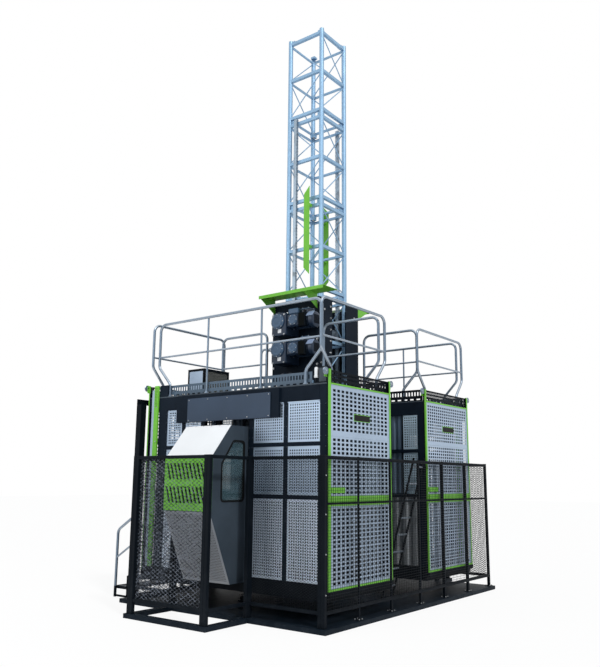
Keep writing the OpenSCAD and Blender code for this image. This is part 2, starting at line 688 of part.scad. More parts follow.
drive_clear = drive_plate_w / 2 + 40;
hatch_w = cage_w * 0.44;
hatch_y = -end_y + 790;
module cage_roof() color(slate) {
    block([outer_x, -end_y, roof_z - roof_t], [inner_x, end_y, roof_z]);
    translate([0, 0, roof_z + seat]) {
        translate([outer_x + rail_inset + rail_d / 2 + 8 + toe_t, -end_y + toe_t + seat, 0]) rotate(90)
            toe_board(cage_l - 2 * toe_t - 2 * seat);
        for (y = [-end_y, end_y - toe_t]) translate([outer_x + guide_w, y, 0]) toe_board(cage_w - 2 * guide_w);
        for (y = [-end_y + toe_t + seat, drive_clear])
            translate([inner_x, y, 0]) rotate(90) toe_board(end_y - toe_t - seat - drive_clear);
        translate([mid_x - hatch_w / 2, hatch_y, 0]) cube([hatch_w, hatch_w, 26]);
        for (s = [-1, 1]) translate([mid_x + s * hatch_w * 0.34 - 35, hatch_y - 40, 0]) cube([70, 36, 34]);
    }
}

// Guard rails on the roof
rail_post_z = rail_h - rail_d / 2;
function rail_leg(u, dir, step) = [[u + dir * step, 0], [u + dir * step, toe_h + 20], [u, rail_mid_h * 0.75]];
function rail_path(u0, u1, step0, step1) = concat(rail_leg(u0, 1, step0), [[u0, rail_post_z], [u1, rail_post_z]],
    backward(rail_leg(u1, -1, step1)));
function straight_path(u0, u1, step0) = concat(rail_leg(u0, 1, step0), [[u0, rail_post_z], [u1, rail_post_z], [u1, 0]]);

// A rail in the plane of its length and height, with inner posts and one middle bar
module rail(path, u0, u1, posts) {
    bent_tube(path, rail_d, rail_bend_r);
    for (u = posts) rod([u, 0, 0], [u, rail_post_z - rail_d / 2 - seat, 0], rail_bar_d);
    widen = (rail_d - rail_bar_d) / 2;
    stops = concat([u0 + widen], posts, [u1 - widen]);
    for (i = [0:len(stops) - 2]) rod([stops[i] + rail_bar_d / 2 + seat, rail_mid_h, 0],
        [stops[i + 1] - rail_bar_d / 2 - seat, rail_mid_h, 0], rail_bar_d);
}

module along_y(x) translate([x, 0, roof_z + seat]) rotate([90, 0, 90]) children();
module along_x(y) translate([0, y, roof_z + seat]) rotate([90, 0, 0]) children();

rail_end = end_y - 110;
rail_over = 35;
module cage_rails() color(galv) {
    along_y(outer_x + rail_inset) rail(rail_path(-rail_end, rail_end, rail_step, rail_step), -rail_end, rail_end,
        [-rail_end / 3, rail_end / 3]);
    for (s = [-1, 1]) {
        x0 = outer_x - rail_over;
        x1 = inner_x + rail_over;
        along_x(s * (end_y - rail_inset - 12)) rail(rail_path(x0, x1, rail_step - 20, rail_step - 20), x0, x1, []);
        along_y(inner_x - rail_inset) rotate([0, s > 0 ? 180 : 0, 0])
            rail(straight_path(-rail_end, -drive_clear - 60, rail_step), -rail_end, -drive_clear - 60, []);
    }
}

// Operator cab hung on the outer wall
cab_x = outer_x - seat;
cab_face = outer_x - cab_out;
cab_brow = outer_x - cab_out * 0.485;
cab_toe = outer_x - cab_out * 0.427;
cab_profile = [[cab_x, cab_foot_z], [cab_toe, cab_foot_z], [cab_face, cab_waist_z], [cab_face, cab_sill_z], [cab_brow, cab_top_z],
    [cab_x, cab_top_z]];
window_side = outer_x - 2 * cab_wall;
window_low = cab_waist_z + cab_out * 0.162;
window_top = cab_top_z - cab_out * 0.2735;
window_out = cab_face + cab_out * 0.265;
window_r = 55;
window_profile = [[window_side, window_low], [window_out, window_low], [window_out, window_top - cab_out * 0.441],
    [outer_x - 0.42 * cab_out, window_top], [window_side, window_top]];

module cab_side(y) translate([0, y + cab_wall, 0]) in_xz() linear_extrude(cab_wall) difference() {
    polygon(cab_profile);
    polygon(rounded(window_profile, window_r));
}

module cab_shell() color(slate) {
    cab_side(cab_y);
    cab_side(cab_end_y - cab_wall);
    y0 = cab_y + cab_wall + seat;
    y1 = cab_end_y - cab_wall - seat;
    block([cab_brow, y0, cab_top_z - 25], [cab_x, y1, cab_top_z]);
    block([cab_toe, y0, cab_foot_z], [cab_x, y1, cab_foot_z + 25]);
}

gasket = 24;
module cab_glazing() color("#1c2126") for (y = [cab_y, cab_end_y - cab_wall])
    translate([0, y + cab_wall + 4, 0]) in_xz() {
        linear_extrude(cab_wall + 8) difference() {
            polygon(rounded([for (p = window_profile) p + inward(p) * run], window_r));
            polygon(rounded([for (p = window_profile) p + inward(p) * gasket], window_r - gasket / 2));
        }
        translate([0, 0, cab_wall / 2]) linear_extrude(8)
            polygon(rounded([for (p = window_profile) p + inward(p) * (gasket + run)], window_r - gasket / 2));
    }

window_mid = [(window_side + window_out) / 2, (window_low + window_top) / 2];
function inward(p) = [sign(window_mid[0] - p[0]), sign(window_mid[1] - p[1])];

// A panel on a sloping edge of the cab, from a lower to an upper point of its profile
module cab_slope(a, b) {
    d = unit(b - a);
    tilt = atan2(d[1], d[0]);
    translate([a[0], cab_end_y, a[1]]) rotate([0, -tilt, 0]) rotate([90, 0, 0])
        translate([0, seat, 0]) linear_extrude(cab_w) children();
}

module cab_panels() color(alu) {
    slope = norm(cab_profile[4] - cab_profile[3]);
    lower = norm(cab_profile[2] - cab_profile[1]);
    cab_slope(cab_profile[3], cab_profile[4]) translate([8, 0]) square([slope - 8, cab_panel_t]);
    translate([cab_profile[1][0], cab_end_y, cab_profile[1][1]])
        rotate([0, 90 - atan2(cab_profile[1][0] - cab_profile[2][0], cab_profile[2][1] - cab_profile[1][1]) - 180, 0])
            lower_screen(lower - 8);
    translate([cab_face - seat - cab_panel_t, cab_y, cab_waist_z]) in_yz() linear_extrude(cab_panel_t) louvred(cab_w, cab_sill_z - cab_waist_z);
}

// The perforated screen under the cab's waist lies along +X of its own frame, out of the cab on +Z
module lower_screen(l) translate([0, -cab_w, seat]) linear_extrude(cab_panel_t / 3) perforated(l, cab_w, hole_pitch, 20);

// Front with two rows of slanted slots
module louvred(w, h) difference() {
    square([w, h]);
    for (row = [0.3, 0.7], i = [0:8]) translate([w * (i + 1) / 10, h * row])
        polygon([[28, h * 0.11], [2, h * 0.11], [-28, -h * 0.11], [-2, -h * 0.11]]);
}

// Drive plate on the roof's inner edge, with cheeks round the mast tubes
cheek_y = drive_plate_w / 2 - 16;
cheek_end = -(half - 135);
module drive_plate() color(dark) {
    difference() {
        block([plate_out, -drive_plate_w / 2, roof_z + seat], [plate_x, drive_plate_w / 2, plate_top]);
        for (z = [brake_z, lower_z, upper_z]) shaft_hole(z, plate_out - 1, plate_x + 1, shaft_d + 2 * play);
        for (s = [-1, 1]) translate([plate_out - 1, s * drive_plate_w * 0.36, (roof_z + plate_low) / 2])
            rotate([0, 90, 0]) cylinder(h = drive_plate_t + 2, d = 110);
    }
    for (s = [-1, 1]) difference() {
        block([plate_x + seat, s > 0 ? cheek_y : -cheek_y - 16, plate_low], [cheek_end, s > 0 ? cheek_y + 16 : -cheek_y, plate_top]);
        translate([roller_x, 0, rollers_high_z]) rotate([90, 0, 0])
            cylinder(h = 4 * half, d = axle_d + 2 * play, center = true);
    }
}

// Worm reducers with their round bearing covers
cover_d = reducer_h * 0.65;
module reducer(z) difference() {
    union() {
        translate([reducer_x - reducer_depth, 0, z]) in_yz() linear_extrude(reducer_depth)
            polygon(rounded([[reducer_front_y, -reducer_h * 0.59], [reducer_back_y, -reducer_h * 0.59],
                [reducer_back_y, reducer_h * 0.33], [pinion_y, reducer_h * 0.41], [reducer_front_y, reducer_h * 0.33]], 22, 3));
        for (k = [[cover_d, 24], [cover_d - 44, 36]]) translate([reducer_x - reducer_depth - k[1], pinion_y, z]) rotate([0, 90, 0])
            cylinder(h = k[1] + 1, d = k[0]);
    }
    shaft_hole(z, plate_out - 30, plate_out + 1, shaft_d + 2);
}

module reducers() color("#2b333c") for (z = [lower_z, upper_z]) reducer(z);

// Motors along Y with a coupling bell, cooling ribs, terminal box and fan cover
rib_count = 20;
module motor(z) translate([reducer_mid_x, reducer_front_y - seat, z]) rotate([90, 0, 0]) {
    bell = motor_l * 0.2;
    cowl = motor_l * 0.16;
    cylinder(h = bell, d = motor_d * 0.84);
    cylinder(h = 24, d = motor_d);
    translate([0, 0, bell - 1]) cylinder(h = motor_l - bell - cowl + 2, d = motor_d * 0.88);
    for (i = [0:rib_count - 1]) rotate(i * 360 / rib_count)
        translate([0, -3, bell + 20]) cube([motor_d / 2 - 2, 6, motor_l - bell - cowl - 10]);
    translate([0, 0, motor_l - cowl]) cylinder(h = cowl - 14, d = motor_d);
    translate([0, 0, motor_l - 15]) cylinder(h = 15, d1 = motor_d, d2 = motor_d * 0.82);
    translate([-75, motor_d / 2 - 20, motor_l * 0.5]) cube([150, 75, motor_l * 0.3]);
}

module motors() color("#222a33") for (z = [lower_z, upper_z]) motor(z);

// Overspeed safety brake under the drive units
module safety_brake() color("#4a525b") difference() {
    translate([reducer_x, pinion_y, brake_z]) rotate([0, -90, 0]) {
        cylinder(h = 30, d = brake_d + 50);
        cylinder(h = 190, d = brake_d);
        translate([0, 0, 189]) cylinder(h = 40, d1 = brake_d, d2 = brake_d * 0.6);
        translate([0, 0, 228]) cylinder(h = 30, d = brake_d * 0.34);
    }
    shaft_hole(brake_z, plate_out - 30, plate_out + 1, shaft_d + 2);
}

// Canopy over the drive: a folded sheet on two gussets
canopy_out = reducer_depth + 40;
canopy_y0 = reducer_front_y - motor_l - 260;
canopy_y1 = drive_plate_w / 2 - 18;
module canopy() color(lime) {
    block([plate_out - canopy_out, canopy_y0, canopy_z], [plate_out - seat, canopy_y1, canopy_z + 5]);
    block([plate_out - canopy_out, canopy_y0, canopy_z - 45], [plate_out - canopy_out + 5, canopy_y1, canopy_z + 1]);
    for (y = [-drive_plate_w / 2 + 30, drive_plate_w / 2 - 40]) translate([0, y + 8, 0]) in_xz() linear_extrude(8)
        polygon([[plate_out - seat, canopy_z + 1], [plate_out - seat, plate_top - 190], [plate_out - canopy_out + 4, canopy_z - 20],
            [plate_out - canopy_out + 4, canopy_z + 1]]);
}

// Brake resistor box on the rear of the roof
resistor_l = 340;
resistor_gap = 390;
module resistor() color(slate) {
    y1 = end_y - resistor_gap;
    y0 = y1 - resistor_l;
    x0 = mid_x - 360;
    x1 = mid_x + 180;
    z0 = roof_z + 60;
    difference() {
        block([x0, y0, z0], [x1, y1, z0 + 370]);
        for (i = [0:8]) block([x0 + 40 + i * 55, y0 - 1, z0 + 60], [x0 + 65 + i * 55, y0 + 8, z0 + 310]);
        for (i = [0:8]) block([x0 + 40 + i * 55, y1 - 8, z0 + 60], [x0 + 65 + i * 55, y1 + 1, z0 + 310]);
        block([x0 - 1, y0 + 40, z0 + 40], [x0 + 6, y1 - 40, z0 + 330]);
    }
    for (x = [x0 + 20, x1 - 60]) block([x, y0 + 20, roof_z + seat], [x + 40, y1 - 20, z0 + 1]);
}

// Door guides: channels at both ends of a cage, sheaves over them and the counterweight column
module guide_channel(x, open) translate([x, 0, sill_z + seat]) linear_extrude(guide_top - sill_z) mirror([open > 0 ? 0 : 1, 0])
    polygon([[0, -guide_d / 2], [guide_w, -guide_d / 2], [guide_w, -guide_d / 2 + guide_wall], [guide_wall, -guide_d / 2 + guide_wall],
        [guide_wall, guide_d / 2 - guide_wall], [guide_w, guide_d / 2 - guide_wall], [guide_w, guide_d / 2], [0, guide_d / 2]]);

module door_sheave(x, out) translate([x, 0, guide_top - 30]) mirror([out > 0 ? 0 : 1, 0, 0]) {
    block([seat, 12, -70], [sheave_d * 0.7, 18, 40]);
    translate([sheave_d / 2 + 6, 18, 0]) rotate([90, 0, 0]) cylinder(h = 34, d = 20);
    translate([sheave_d / 2 + 6, 0, 0]) rotate([90, 0, 0]) rotate_extrude() difference() {
        translate([6, -10]) square([sheave_d / 2 - 6, 20]);
        translate([sheave_d / 2 + 2, 0]) circle(r = 9);
    }
}

module door_guides() color(lime) {
    for (q = [0, 180]) translate([mid_x, 0, 0]) rotate(q) translate([-mid_x, door_y, 0]) {
        guide_channel(outer_x, 1);
        guide_channel(inner_x, -1);
        door_sheave(outer_x, -1);
        door_sheave(inner_x, 1);
    }
    block([outer_x - column_d, column_end - column_w, floor_z + seat], [outer_x - seat, column_end, guide_top]);
}

// Door leaf: framed perforated sheet, stiffening beam and lock box
leaf_edge = 34;
module door_leaf() {
    w = leaf_x1 - leaf_x0;
    h = leaf_top - sill_z;
    beam_h2 = 120;
    split = leaf_beam_z - sill_z;
    strip = split + (h - split) * 0.56;
    color(alu) translate([leaf_x0, leaf_t / 2, sill_z]) in_xz() {
        linear_extrude(leaf_t) difference() {
            square([w, h]);
            translate([leaf_edge, leaf_edge]) square([w - 2 * leaf_edge, split - leaf_edge]);
            translate([leaf_edge, split + beam_h2]) square([w - 2 * leaf_edge, strip - split - beam_h2]);
            translate([leaf_edge, strip + leaf_edge]) square([w - 2 * leaf_edge, h - strip - 2 * leaf_edge]);
        }
        translate([leaf_edge - 1, leaf_edge - 1, leaf_t / 2 - sheet_t / 2]) linear_extrude(sheet_t)
            perforated(w - 2 * leaf_edge + 2, split - leaf_edge + 2, hole_pitch, 25);
        translate([leaf_edge - 1, split + beam_h2 - 1, leaf_t / 2 - sheet_t / 2]) linear_extrude(sheet_t)
            perforated(w - 2 * leaf_edge + 2, strip - split - beam_h2 + 2, hole_pitch, 25);
        translate([leaf_edge - 1, strip + leaf_edge - 1, leaf_t / 2 - sheet_t / 2]) linear_extrude(sheet_t)
            perforated(w - 2 * leaf_edge + 2, h - strip - 2 * leaf_edge + 2, hole_pitch, 25);
    }
    color(lime) {
        x0 = leaf_x0 + guide_w;
        x1 = leaf_x1 - guide_w;
        y = -leaf_t / 2 - seat;
        block([x0, y - 14, leaf_beam_z], [x1, y, leaf_beam_z + beam_h2]);
        block([x0, y - 12, leaf_beam_z + beam_h2 + seat], [x0 + 290, y, leaf_beam_z + beam_h2 + 105]);
    }
}

module front_door() translate([0, door_y, 0]) door_leaf();
module rear_door() translate([2 * mid_x, 0, 0]) rotate(180) front_door();

// Fence runs: a frame of posts and rails, and the mesh in each of its bays. A run lies along +X of its own frame
function gaps(posts) = [for (i = [0:len(posts) - 2]) [posts[i] + fence_post_w / 2, posts[i + 1] - fence_post_w / 2]];

module fence_run(posts, mid = 0) translate([0, 0, beam_h + seat]) {
    h = fence_h - beam_h - seat;
    for (p = posts) translate([p - fence_post_w / 2, -fence_post_w / 2, 0]) cube([fence_post_w, fence_post_w, h]);
    for (g = gaps(posts), z = concat([fence_low_z - beam_h, h - fence_rail_w], mid > 0 ? [mid - beam_h] : []))
        translate([g[0] - 1, -fence_rail_w / 2, z]) cube([g[1] - g[0] + 2, fence_rail_w, fence_rail_w]);
}

module mesh_run(posts) for (g = gaps(posts))
    translate([g[0] + seat, -fence_rail_w / 2 - seat, fence_low_z + fence_rail_w / 2]) in_xz() linear_extrude(mesh_t)
        diamond_mesh(g[1] - g[0] - 2 * seat, fence_h - fence_low_z - fence_rail_w);

module run_from(at, turn) translate(at) rotate(turn) children();

corner = fence_post_w + seat;
side_front = [0, fence_y + bay_front_y - corner];
side_rear = [0, fence_y - bay_rear_y - corner];
far_rear_run = [gate_x1 + portal_w + fence_post_w / 2 + 1, fence_far_x];
bay_depth_near = [0, bay_x - fence_near_x - corner];
bay_depth_far = [0, bay_x - fence_far_x - corner];
bay_width = [0, bay_rear_y - bay_front_y];

// Runs on one side: in front of the bay, the bay's open and closed ends, its own front and behind the bay
module side_runs(x, depth, kind) {
    run_from([x, -fence_y + corner, 0], 90) run_kind(side_front, kind);
    if (kind == 0) run_from([x - corner, bay_front_y, 0], 180) fence_run(depth);
    run_from([x - corner - depth[1], bay_front_y + corner, 0], 90) run_kind([0, bay_width[1] - 2 * corner], kind);
    run_from([x - corner, bay_rear_y, 0], 180) run_kind(depth, kind);
    run_from([x, bay_rear_y, 0], 90) run_kind(side_rear, kind);
}

module run_kind(posts, kind) if (kind == 0) fence_run(posts); else mesh_run(posts);

module fence_front() color(dark) run_from([0, -fence_y, 0], 0) fence_run(fence_posts, fence_mid_z);
module fence_sides() color(dark) {
    side_runs(-fence_near_x, bay_depth_near, 0);
    far() side_runs(-fence_far_x, bay_depth_far, 0);
}

// Gate columns at the rear with a lintel over each gate, and the panel between the gates
module portal(s) {
    for (x = [gate_x0 - portal_w - seat, gate_x1 + seat])
        block([s > 0 ? x : -x - portal_w, portal_y - portal_w / 2, beam_h + seat], [s > 0 ? x + portal_w : -x, portal_y + portal_w / 2, portal_h]);
    a = gate_x0 - portal_w - seat;
    b = gate_x1 + portal_w + seat;
    block([s > 0 ? a : -b, portal_y + gate_t / 2 + 8, portal_h + seat], [s > 0 ? b : -a, portal_y + portal_w / 2, portal_h + 80]);
}

middle_run = [-gate_x0 + portal_w + fence_post_w / 2 + 1, gate_x0 - portal_w - fence_post_w / 2 - 1];
module fence_rear() color(dark) {
    for (s = [-1, 1]) portal(s);
    for (r = [middle_run, far_rear_run]) run_from([0, fence_y, 0], 0) fence_run(r);
}

module fence_mesh() color("#2a3036") {
    run_from([0, -fence_y, 0], 0) mesh_run(fence_posts);
    side_runs(-fence_near_x, bay_depth_near, 1);
    far() side_runs(-fence_far_x, bay_depth_far, 1);
    for (r = [middle_run, far_rear_run]) run_from([0, fence_y, 0], 0) mesh_run(r);
}

// Lifting gate between its columns
gate_top = fence_h;
module gate(s) color(dark) translate([s > 0 ? gate_x0 + run : -gate_x1 + run, portal_y + gate_t / 2, beam_h + seat]) in_xz() {
    w = gate_x1 - gate_x0 - 2 * run;
    h = gate_top - beam_h;
    linear_extrude(gate_t) difference() {
        square([w, h]);
        translate([45, 45]) square([w - 90, h / 2 - 67]);
        translate([45, h / 2 + 22]) square([w - 90, h / 2 - 67]);
    }
    for (z = [44, h / 2 + 21]) translate([44, z, gate_t / 2 - mesh_t / 2]) linear_extrude(mesh_t)
        diamond_mesh(w - 88, h / 2 - 65);
}

// Ladder that leans on the front fence from inside
ladder_x = cage_gap - 280;
ladder_top_y = -fence_y + fence_post_w / 2 + 22;
ladder_foot_y = ladder_top_y + fence_h * 0.28;
ladder_top_z = fence_h - 20;
ladder_lean = atan((ladder_foot_y - ladder_top_y) / ladder_top_z);
module ladder() color("#343b43") translate([ladder_x, ladder_foot_y, 0]) {
    l = ladder_top_z / cos(ladder_lean) + 60;
    n = floor((l - 200) / rung_pitch);
    intersection() {
        rotate([ladder_lean, 0, 0]) {
            for (s = [-1, 1]) translate([s * ladder_w / 2 - 12, -20, -40]) cube([24, 40, l + 40]);
            for (i = [0:n]) translate([-ladder_w / 2, 0, 260 + i * rung_pitch]) rotate([0, 90, 0])
                cylinder(h = ladder_w, d = 28);
        }
        translate([-ladder_w, -fence_h, beam_h + seat]) cube([2 * ladder_w, 2 * fence_h, 2 * fence_h]);
    }
}

// Stairs at the gates, with handrails
stair_y = fence_y + beam_w / 2 + seat;
stair_steps = 2;
module stair(s) translate([s * (gate_x0 + gate_x1) / 2, stair_y, 0]) {
    for (i = [0:stair_steps - 1]) {
        y = (stair_steps - 1 - i) * step_d;
        block([-stair_w / 2, y + 1, (i + 1) * step_h - 40], [stair_w / 2, y + step_d - 1, (i + 1) * step_h]);
    }
    for (x = [-stair_w / 2 - 8 - seat, stair_w / 2 + seat]) translate([x, 0, 0]) in_yz() linear_extrude(8)
        polygon([[0, 0], [stair_steps * step_d, 0], [stair_steps * step_d, step_h + 20], [step_d, stair_steps * step_h + 30],
            [0, stair_steps * step_h + 30]]);
    for (x = [-stair_w / 2 - 8 - 2 * seat - rail_d / 2, stair_w / 2 + 8 + 2 * seat + rail_d / 2])
        translate([x, 0, 0]) in_yz() stair_rail();
}

module stair_rail() {
    l = stair_steps * step_d;
    top = rail_h + 110;
    mid = rail_mid_h - 40;
    drop = stair_steps * step_h / l * (l - 60);
    bent_tube([[l - 40, 0], [l - 40, top - drop], [30, top]], rail_d, 70);
    rod([l - 40, mid, 0], [30, mid + drop, 0], rail_bar_d);
    rod([30, 0, 0], [30, top - 8, 0], rail_bar_d);
}

module stairs() color(slate) for (s = [-1, 1]) stair(s);

base_frame();
fence_front();
fence_sides();
fence_rear();
fence_mesh();
mast_base_section();
mast_mid_sections();
mast_top_section();
racks();
mast_bolts();
limit_cams();
buffer_springs();
ladder();
stairs();
gate(-1);  // near_gate
gate(1);  // far_gate
floor_tray();  // near_floor
cage_frame();  // near_frame
cage_panels();  // near_panels
cage_roof();  // near_roof
cage_rails();  // near_rails
cab_shell();  // near_cab_shell
cab_glazing();  // near_cab_glazing
cab_panels();  // near_cab_panels
drive_plate();  // near_drive_plate
reducers();  // near_reducers
motors();  // near_motors
safety_brake();  // near_safety_brake
canopy();  // near_canopy
resistor();  // near_resistor
door_guides();  // near_door_guides
front_door();  // near_front_door
rear_door();  // near_rear_door
pinion(upper_z);  // near_pinion_upper
pinion(lower_z);  // near_pinion_lower
pinion(brake_z);  // near_pinion_safety
guide_rollers(rollers_high_z, cheek_y + 30 - half);  // near_rollers_upper
guide_rollers(rollers_low_z, bracket_y + bracket_t + 12 - half);  // near_rollers_lower
far() floor_tray();  // far_floor
far() cage_frame();  // far_frame
far() cage_panels();  // far_panels
far() cage_roof();  // far_roof
far() cage_rails();  // far_rails
far() cab_shell();  // far_cab_shell
far() cab_glazing();  // far_cab_glazing
far() cab_panels();  // far_cab_panels
far() drive_plate();  // far_drive_plate
far() reducers();  // far_reducers
far() motors();  // far_motors
far() safety_brake();  // far_safety_brake
far() canopy();  // far_canopy
mirror([1, 0, 0]) resistor();  // far_resistor
far() door_guides();  // far_door_guides
far() rear_door();  // far_front_door
far() front_door();  // far_rear_door
far() pinion(upper_z);  // far_pinion_upper
far() pinion(lower_z);  // far_pinion_lower
far() pinion(brake_z);  // far_pinion_safety
far() guide_rollers(rollers_high_z, cheek_y + 30 - half);  // far_rollers_upper
far() guide_rollers(rollers_low_z, bracket_y + bracket_t + 12 - half);  // far_rollers_lower
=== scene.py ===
import bpy
import bmesh
import json
import math
from mathutils import Matrix, Vector


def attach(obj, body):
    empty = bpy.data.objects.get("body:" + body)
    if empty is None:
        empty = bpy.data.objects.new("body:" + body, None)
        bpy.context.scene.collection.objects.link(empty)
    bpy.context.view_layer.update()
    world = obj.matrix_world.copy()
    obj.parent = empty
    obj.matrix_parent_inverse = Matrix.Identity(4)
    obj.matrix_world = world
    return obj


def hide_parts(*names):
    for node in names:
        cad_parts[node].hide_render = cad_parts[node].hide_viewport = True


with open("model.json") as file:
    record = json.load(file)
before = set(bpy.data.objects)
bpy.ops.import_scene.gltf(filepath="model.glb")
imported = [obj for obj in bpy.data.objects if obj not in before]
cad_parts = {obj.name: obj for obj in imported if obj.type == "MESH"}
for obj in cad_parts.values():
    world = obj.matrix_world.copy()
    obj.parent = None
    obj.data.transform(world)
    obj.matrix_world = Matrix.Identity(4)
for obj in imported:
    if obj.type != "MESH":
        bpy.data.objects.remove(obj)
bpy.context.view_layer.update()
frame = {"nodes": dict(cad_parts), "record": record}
scene = bpy.context.scene
scene.view_settings.view_transform = "Standard"
# the far cage is the near one turned about the mast
sides = {"near": Matrix(), "far": Matrix.Rotation(math.pi, 4, "Z")}
gap = 0.0002  # clear space between pieces that touch, as in the solids
print("frame loaded:", len(frame["nodes"]), "nodes")

# a socket in a shader or geometry tree, so that maths reads as maths
class Link:
    def __init__(self, graph, node, out):
        self.graph = graph
        self.node = node
        self.socket = node.outputs[out]

    def other(self, out):
        return Link(self.graph, self.node, out)

    def __add__(self, value):
        return self.graph.math("ADD", self, value)

    def __sub__(self, value):
        return self.graph.math("SUBTRACT", self, value)

    def __rsub__(self, value):
        return self.graph.math("SUBTRACT", value, self)

    def __mul__(self, value):
        return self.graph.math("MULTIPLY", self, value)

    def __truediv__(self, value):
        return self.graph.math("DIVIDE", self, value)

class Graph:
    def __init__(self, tree):
        self.tree = tree

    # any node: its type, the values or links of its sockets, the output that is wanted, its settings
    def node(self, kind, values=None, out=0, **settings):
        made = self.tree.nodes.new(kind)
        for key, value in settings.items():
            setattr(made, key, value)
        for key, value in (values or {}).items():
            if isinstance(value, Link):
                self.tree.links.new(value.socket, made.inputs[key])
            else:
                made.inputs[key].default_value = value
        return Link(self, made, out)

    def math(self, operation, first, second=0.0):
        return self.node("ShaderNodeMath", {0: first, 1: second}, operation=operation)

    def vector(self, x=0.0, y=0.0, z=0.0):
        return self.node("ShaderNodeCombineXYZ", {0: x, 1: y, 2: z})

    def part(self, vector, axis):
        return self.node("ShaderNodeSeparateXYZ", {0: vector}, axis)

    def blend(self, factor, first, second, way="MIX"):
        values = {0: factor, 6: first, 7: second}
        for key in (6, 7):
            if not isinstance(values[key], Link):
                values[key] = (*values[key], 1.0)
        return self.node("ShaderNodeMix", values, 2, data_type="RGBA", blend_type=way)

    # 1 for what is seen, also in a mirror or through a pane, and 0 for light that only bounces
    def seen(self):
        path = self.node("ShaderNodeLightPath", out="Is Camera Ray")
        mirrored = self.math("MAXIMUM", path, path.other("Is Glossy Ray"))
        return self.math("MAXIMUM", mirrored, path.other("Is Transmission Ray"))

class Finish(Graph):
    def __init__(self, name):
        self.material = bpy.data.materials.new(name)
        self.material.use_nodes = True
        super().__init__(self.material.node_tree)
        self.shader = self.tree.nodes["Principled BSDF"]
        self.place = self.node("ShaderNodeTexCoord", out="Object")

    def noise(self, scale, detail=4.0, rough=0.55, stretch=None, seed=0.0):
        where = self.place
        if stretch or seed:
            where = self.node("ShaderNodeMapping", {"Vector": where, "Scale": stretch or (1.0, 1.0, 1.0),
                "Location": (seed, seed * 0.7, seed * 1.3)})
        values = {"Vector": where, "Scale": scale, "Detail": detail, "Roughness": rough}
        return self.node("ShaderNodeTexNoise", values, "Fac")

    def ramp(self, value, low, high):
        values = {"Value": value, "From Min": low, "From Max": high}
        return self.node("ShaderNodeMapRange", values, interpolation_type="SMOOTHSTEP")

    # noise between two levels, as soft patches
    def patches(self, low, high, *noise):
        return self.ramp(self.noise(*noise), low, high)

    # 1 at the ground, fading out between two heights
    def ground(self, low, high):
        return 1 - self.ramp(self.part(self.place, "Z"), low, high)

    def bump(self, height, strength, distance):
        values = {"Height": height, "Strength": strength, "Distance": distance}
        self.set(Normal=self.node("ShaderNodeBump", values))

    def set(self, **values):
        for key, value in values.items():
            socket = self.shader.inputs[key.replace("_", " ")]
            if isinstance(value, Link):
                self.tree.links.new(value.socket, socket)
            else:
                socket.default_value = (*value, 1.0) if key == "Base_Color" else value
        return self.material

# a colour made lighter or darker
def shade(colour, factor):
    return tuple(c * factor for c in colour)

# paint with broad mottling, rain streaks, fine peel, and dust that thickens towards the ground
def paintFinish(name, colour, rough=0.46, dust=0.1, coat=0.0, lift=1.35, shine=0.22):
    f = Finish(name)
    pale = tuple(min(1.0, c + 0.002) for c in shade(colour, lift))
    body = f.blend(f.patches(0.35, 0.75, 1.7), colour, pale)
    body = f.blend(f.patches(0.56, 0.8, 5.0, 3.0, 0.5, (4.0, 4.0, 0.22)) * 0.35, body, pale)
    grime = (f.ground(0.02, 0.9) * 0.8 + 0.12) * f.patches(0.42, 0.72, 9.0, 6.0, 0.7) * dust
    body = f.blend(grime, body, (0.27, 0.3, 0.34))
    f.bump(f.noise(320.0, 2.0), 0.05, 0.0006)
    return f.set(Base_Color=body, Roughness=f.noise(14.0) * 0.16 + rough - 0.08 + grime * 0.4,
        Coat_Weight=coat, Coat_Roughness=0.3, Specular_IOR_Level=shine)

# painted mesh with painted glints: light flecks where its strands would catch the light
def glintFinish(name, colour, bright):
    f = Finish(name)
    glint = f.patches(0.4, 0.65, 26.0, 2.0, 0.5)
    f.bump(f.noise(320.0, 2.0), 0.05, 0.0006)
    return f.set(Base_Color=f.blend(glint, colour, bright), Roughness=0.5 - glint * 0.12,
        Specular_IOR_Level=0.2)

# zinc with its spangle and dull patches; an optional painted shade darkens the upright faces
def zincFinish(name, colour, metal=0.55, rough=0.42, uprightShade=None):
    f = Finish(name)
    spangle = f.node("ShaderNodeTexVoronoi", {"Vector": f.place, "Scale": 34.0}, "Color", feature="F1")
    grey = f.node("ShaderNodeRGBToBW", {0: spangle})
    dull = f.patches(0.38, 0.7, 3.2, 5.0)
    body = f.blend(grey * 0.35 + dull * 0.3, colour, shade(colour, 0.74))
    body = f.blend(f.ground(0.1, 1.5) * f.patches(0.4, 0.7, 12.0, 6.0) * 0.3, body, (0.25, 0.23, 0.21))
    # painted shade: upright faces are multiplied by the given colour, so the sides read darker than the tops
    if uprightShade:
        facing = f.part(f.node("ShaderNodeNewGeometry", out="Normal"), "Z")
        body = f.blend(1 - f.ramp(f.math("ABSOLUTE", facing), 0.1, 0.45), body, uprightShade, "MULTIPLY")
    f.bump(f.noise(140.0, 3.0), 0.08, 0.0008)
    return f.set(Base_Color=body, Metallic=metal, Roughness=grey * 0.14 + rough - 0.07 + dull * 0.08)

# rolled aluminium sheet with an upright grain and large soft darker patches
def sheetFinish(name, colour, metal=0.6, rough=0.3):
    f = Finish(name)
    lines = f.noise(90.0, 3.0, 0.6, (1.0, 1.0, 0.03))
    patch = f.patches(0.35, 0.7, 1.1)
    body = f.blend(patch * 0.45 + lines * 0.25, colour, shade(colour, 0.82))
    body = f.blend(f.ground(0.3, 1.1) * f.patches(0.42, 0.75, 10.0, 6.0) * 0.35, body, (0.33, 0.31, 0.28))
    f.bump(lines * 0.3 + f.noise(2.2, 1.0, 0.4, None, 3.1) * 3.0, 0.12, 0.004)
    return f.set(Base_Color=body, Metallic=metal, Roughness=lines * 0.14 + rough - 0.07 + patch * 0.06)

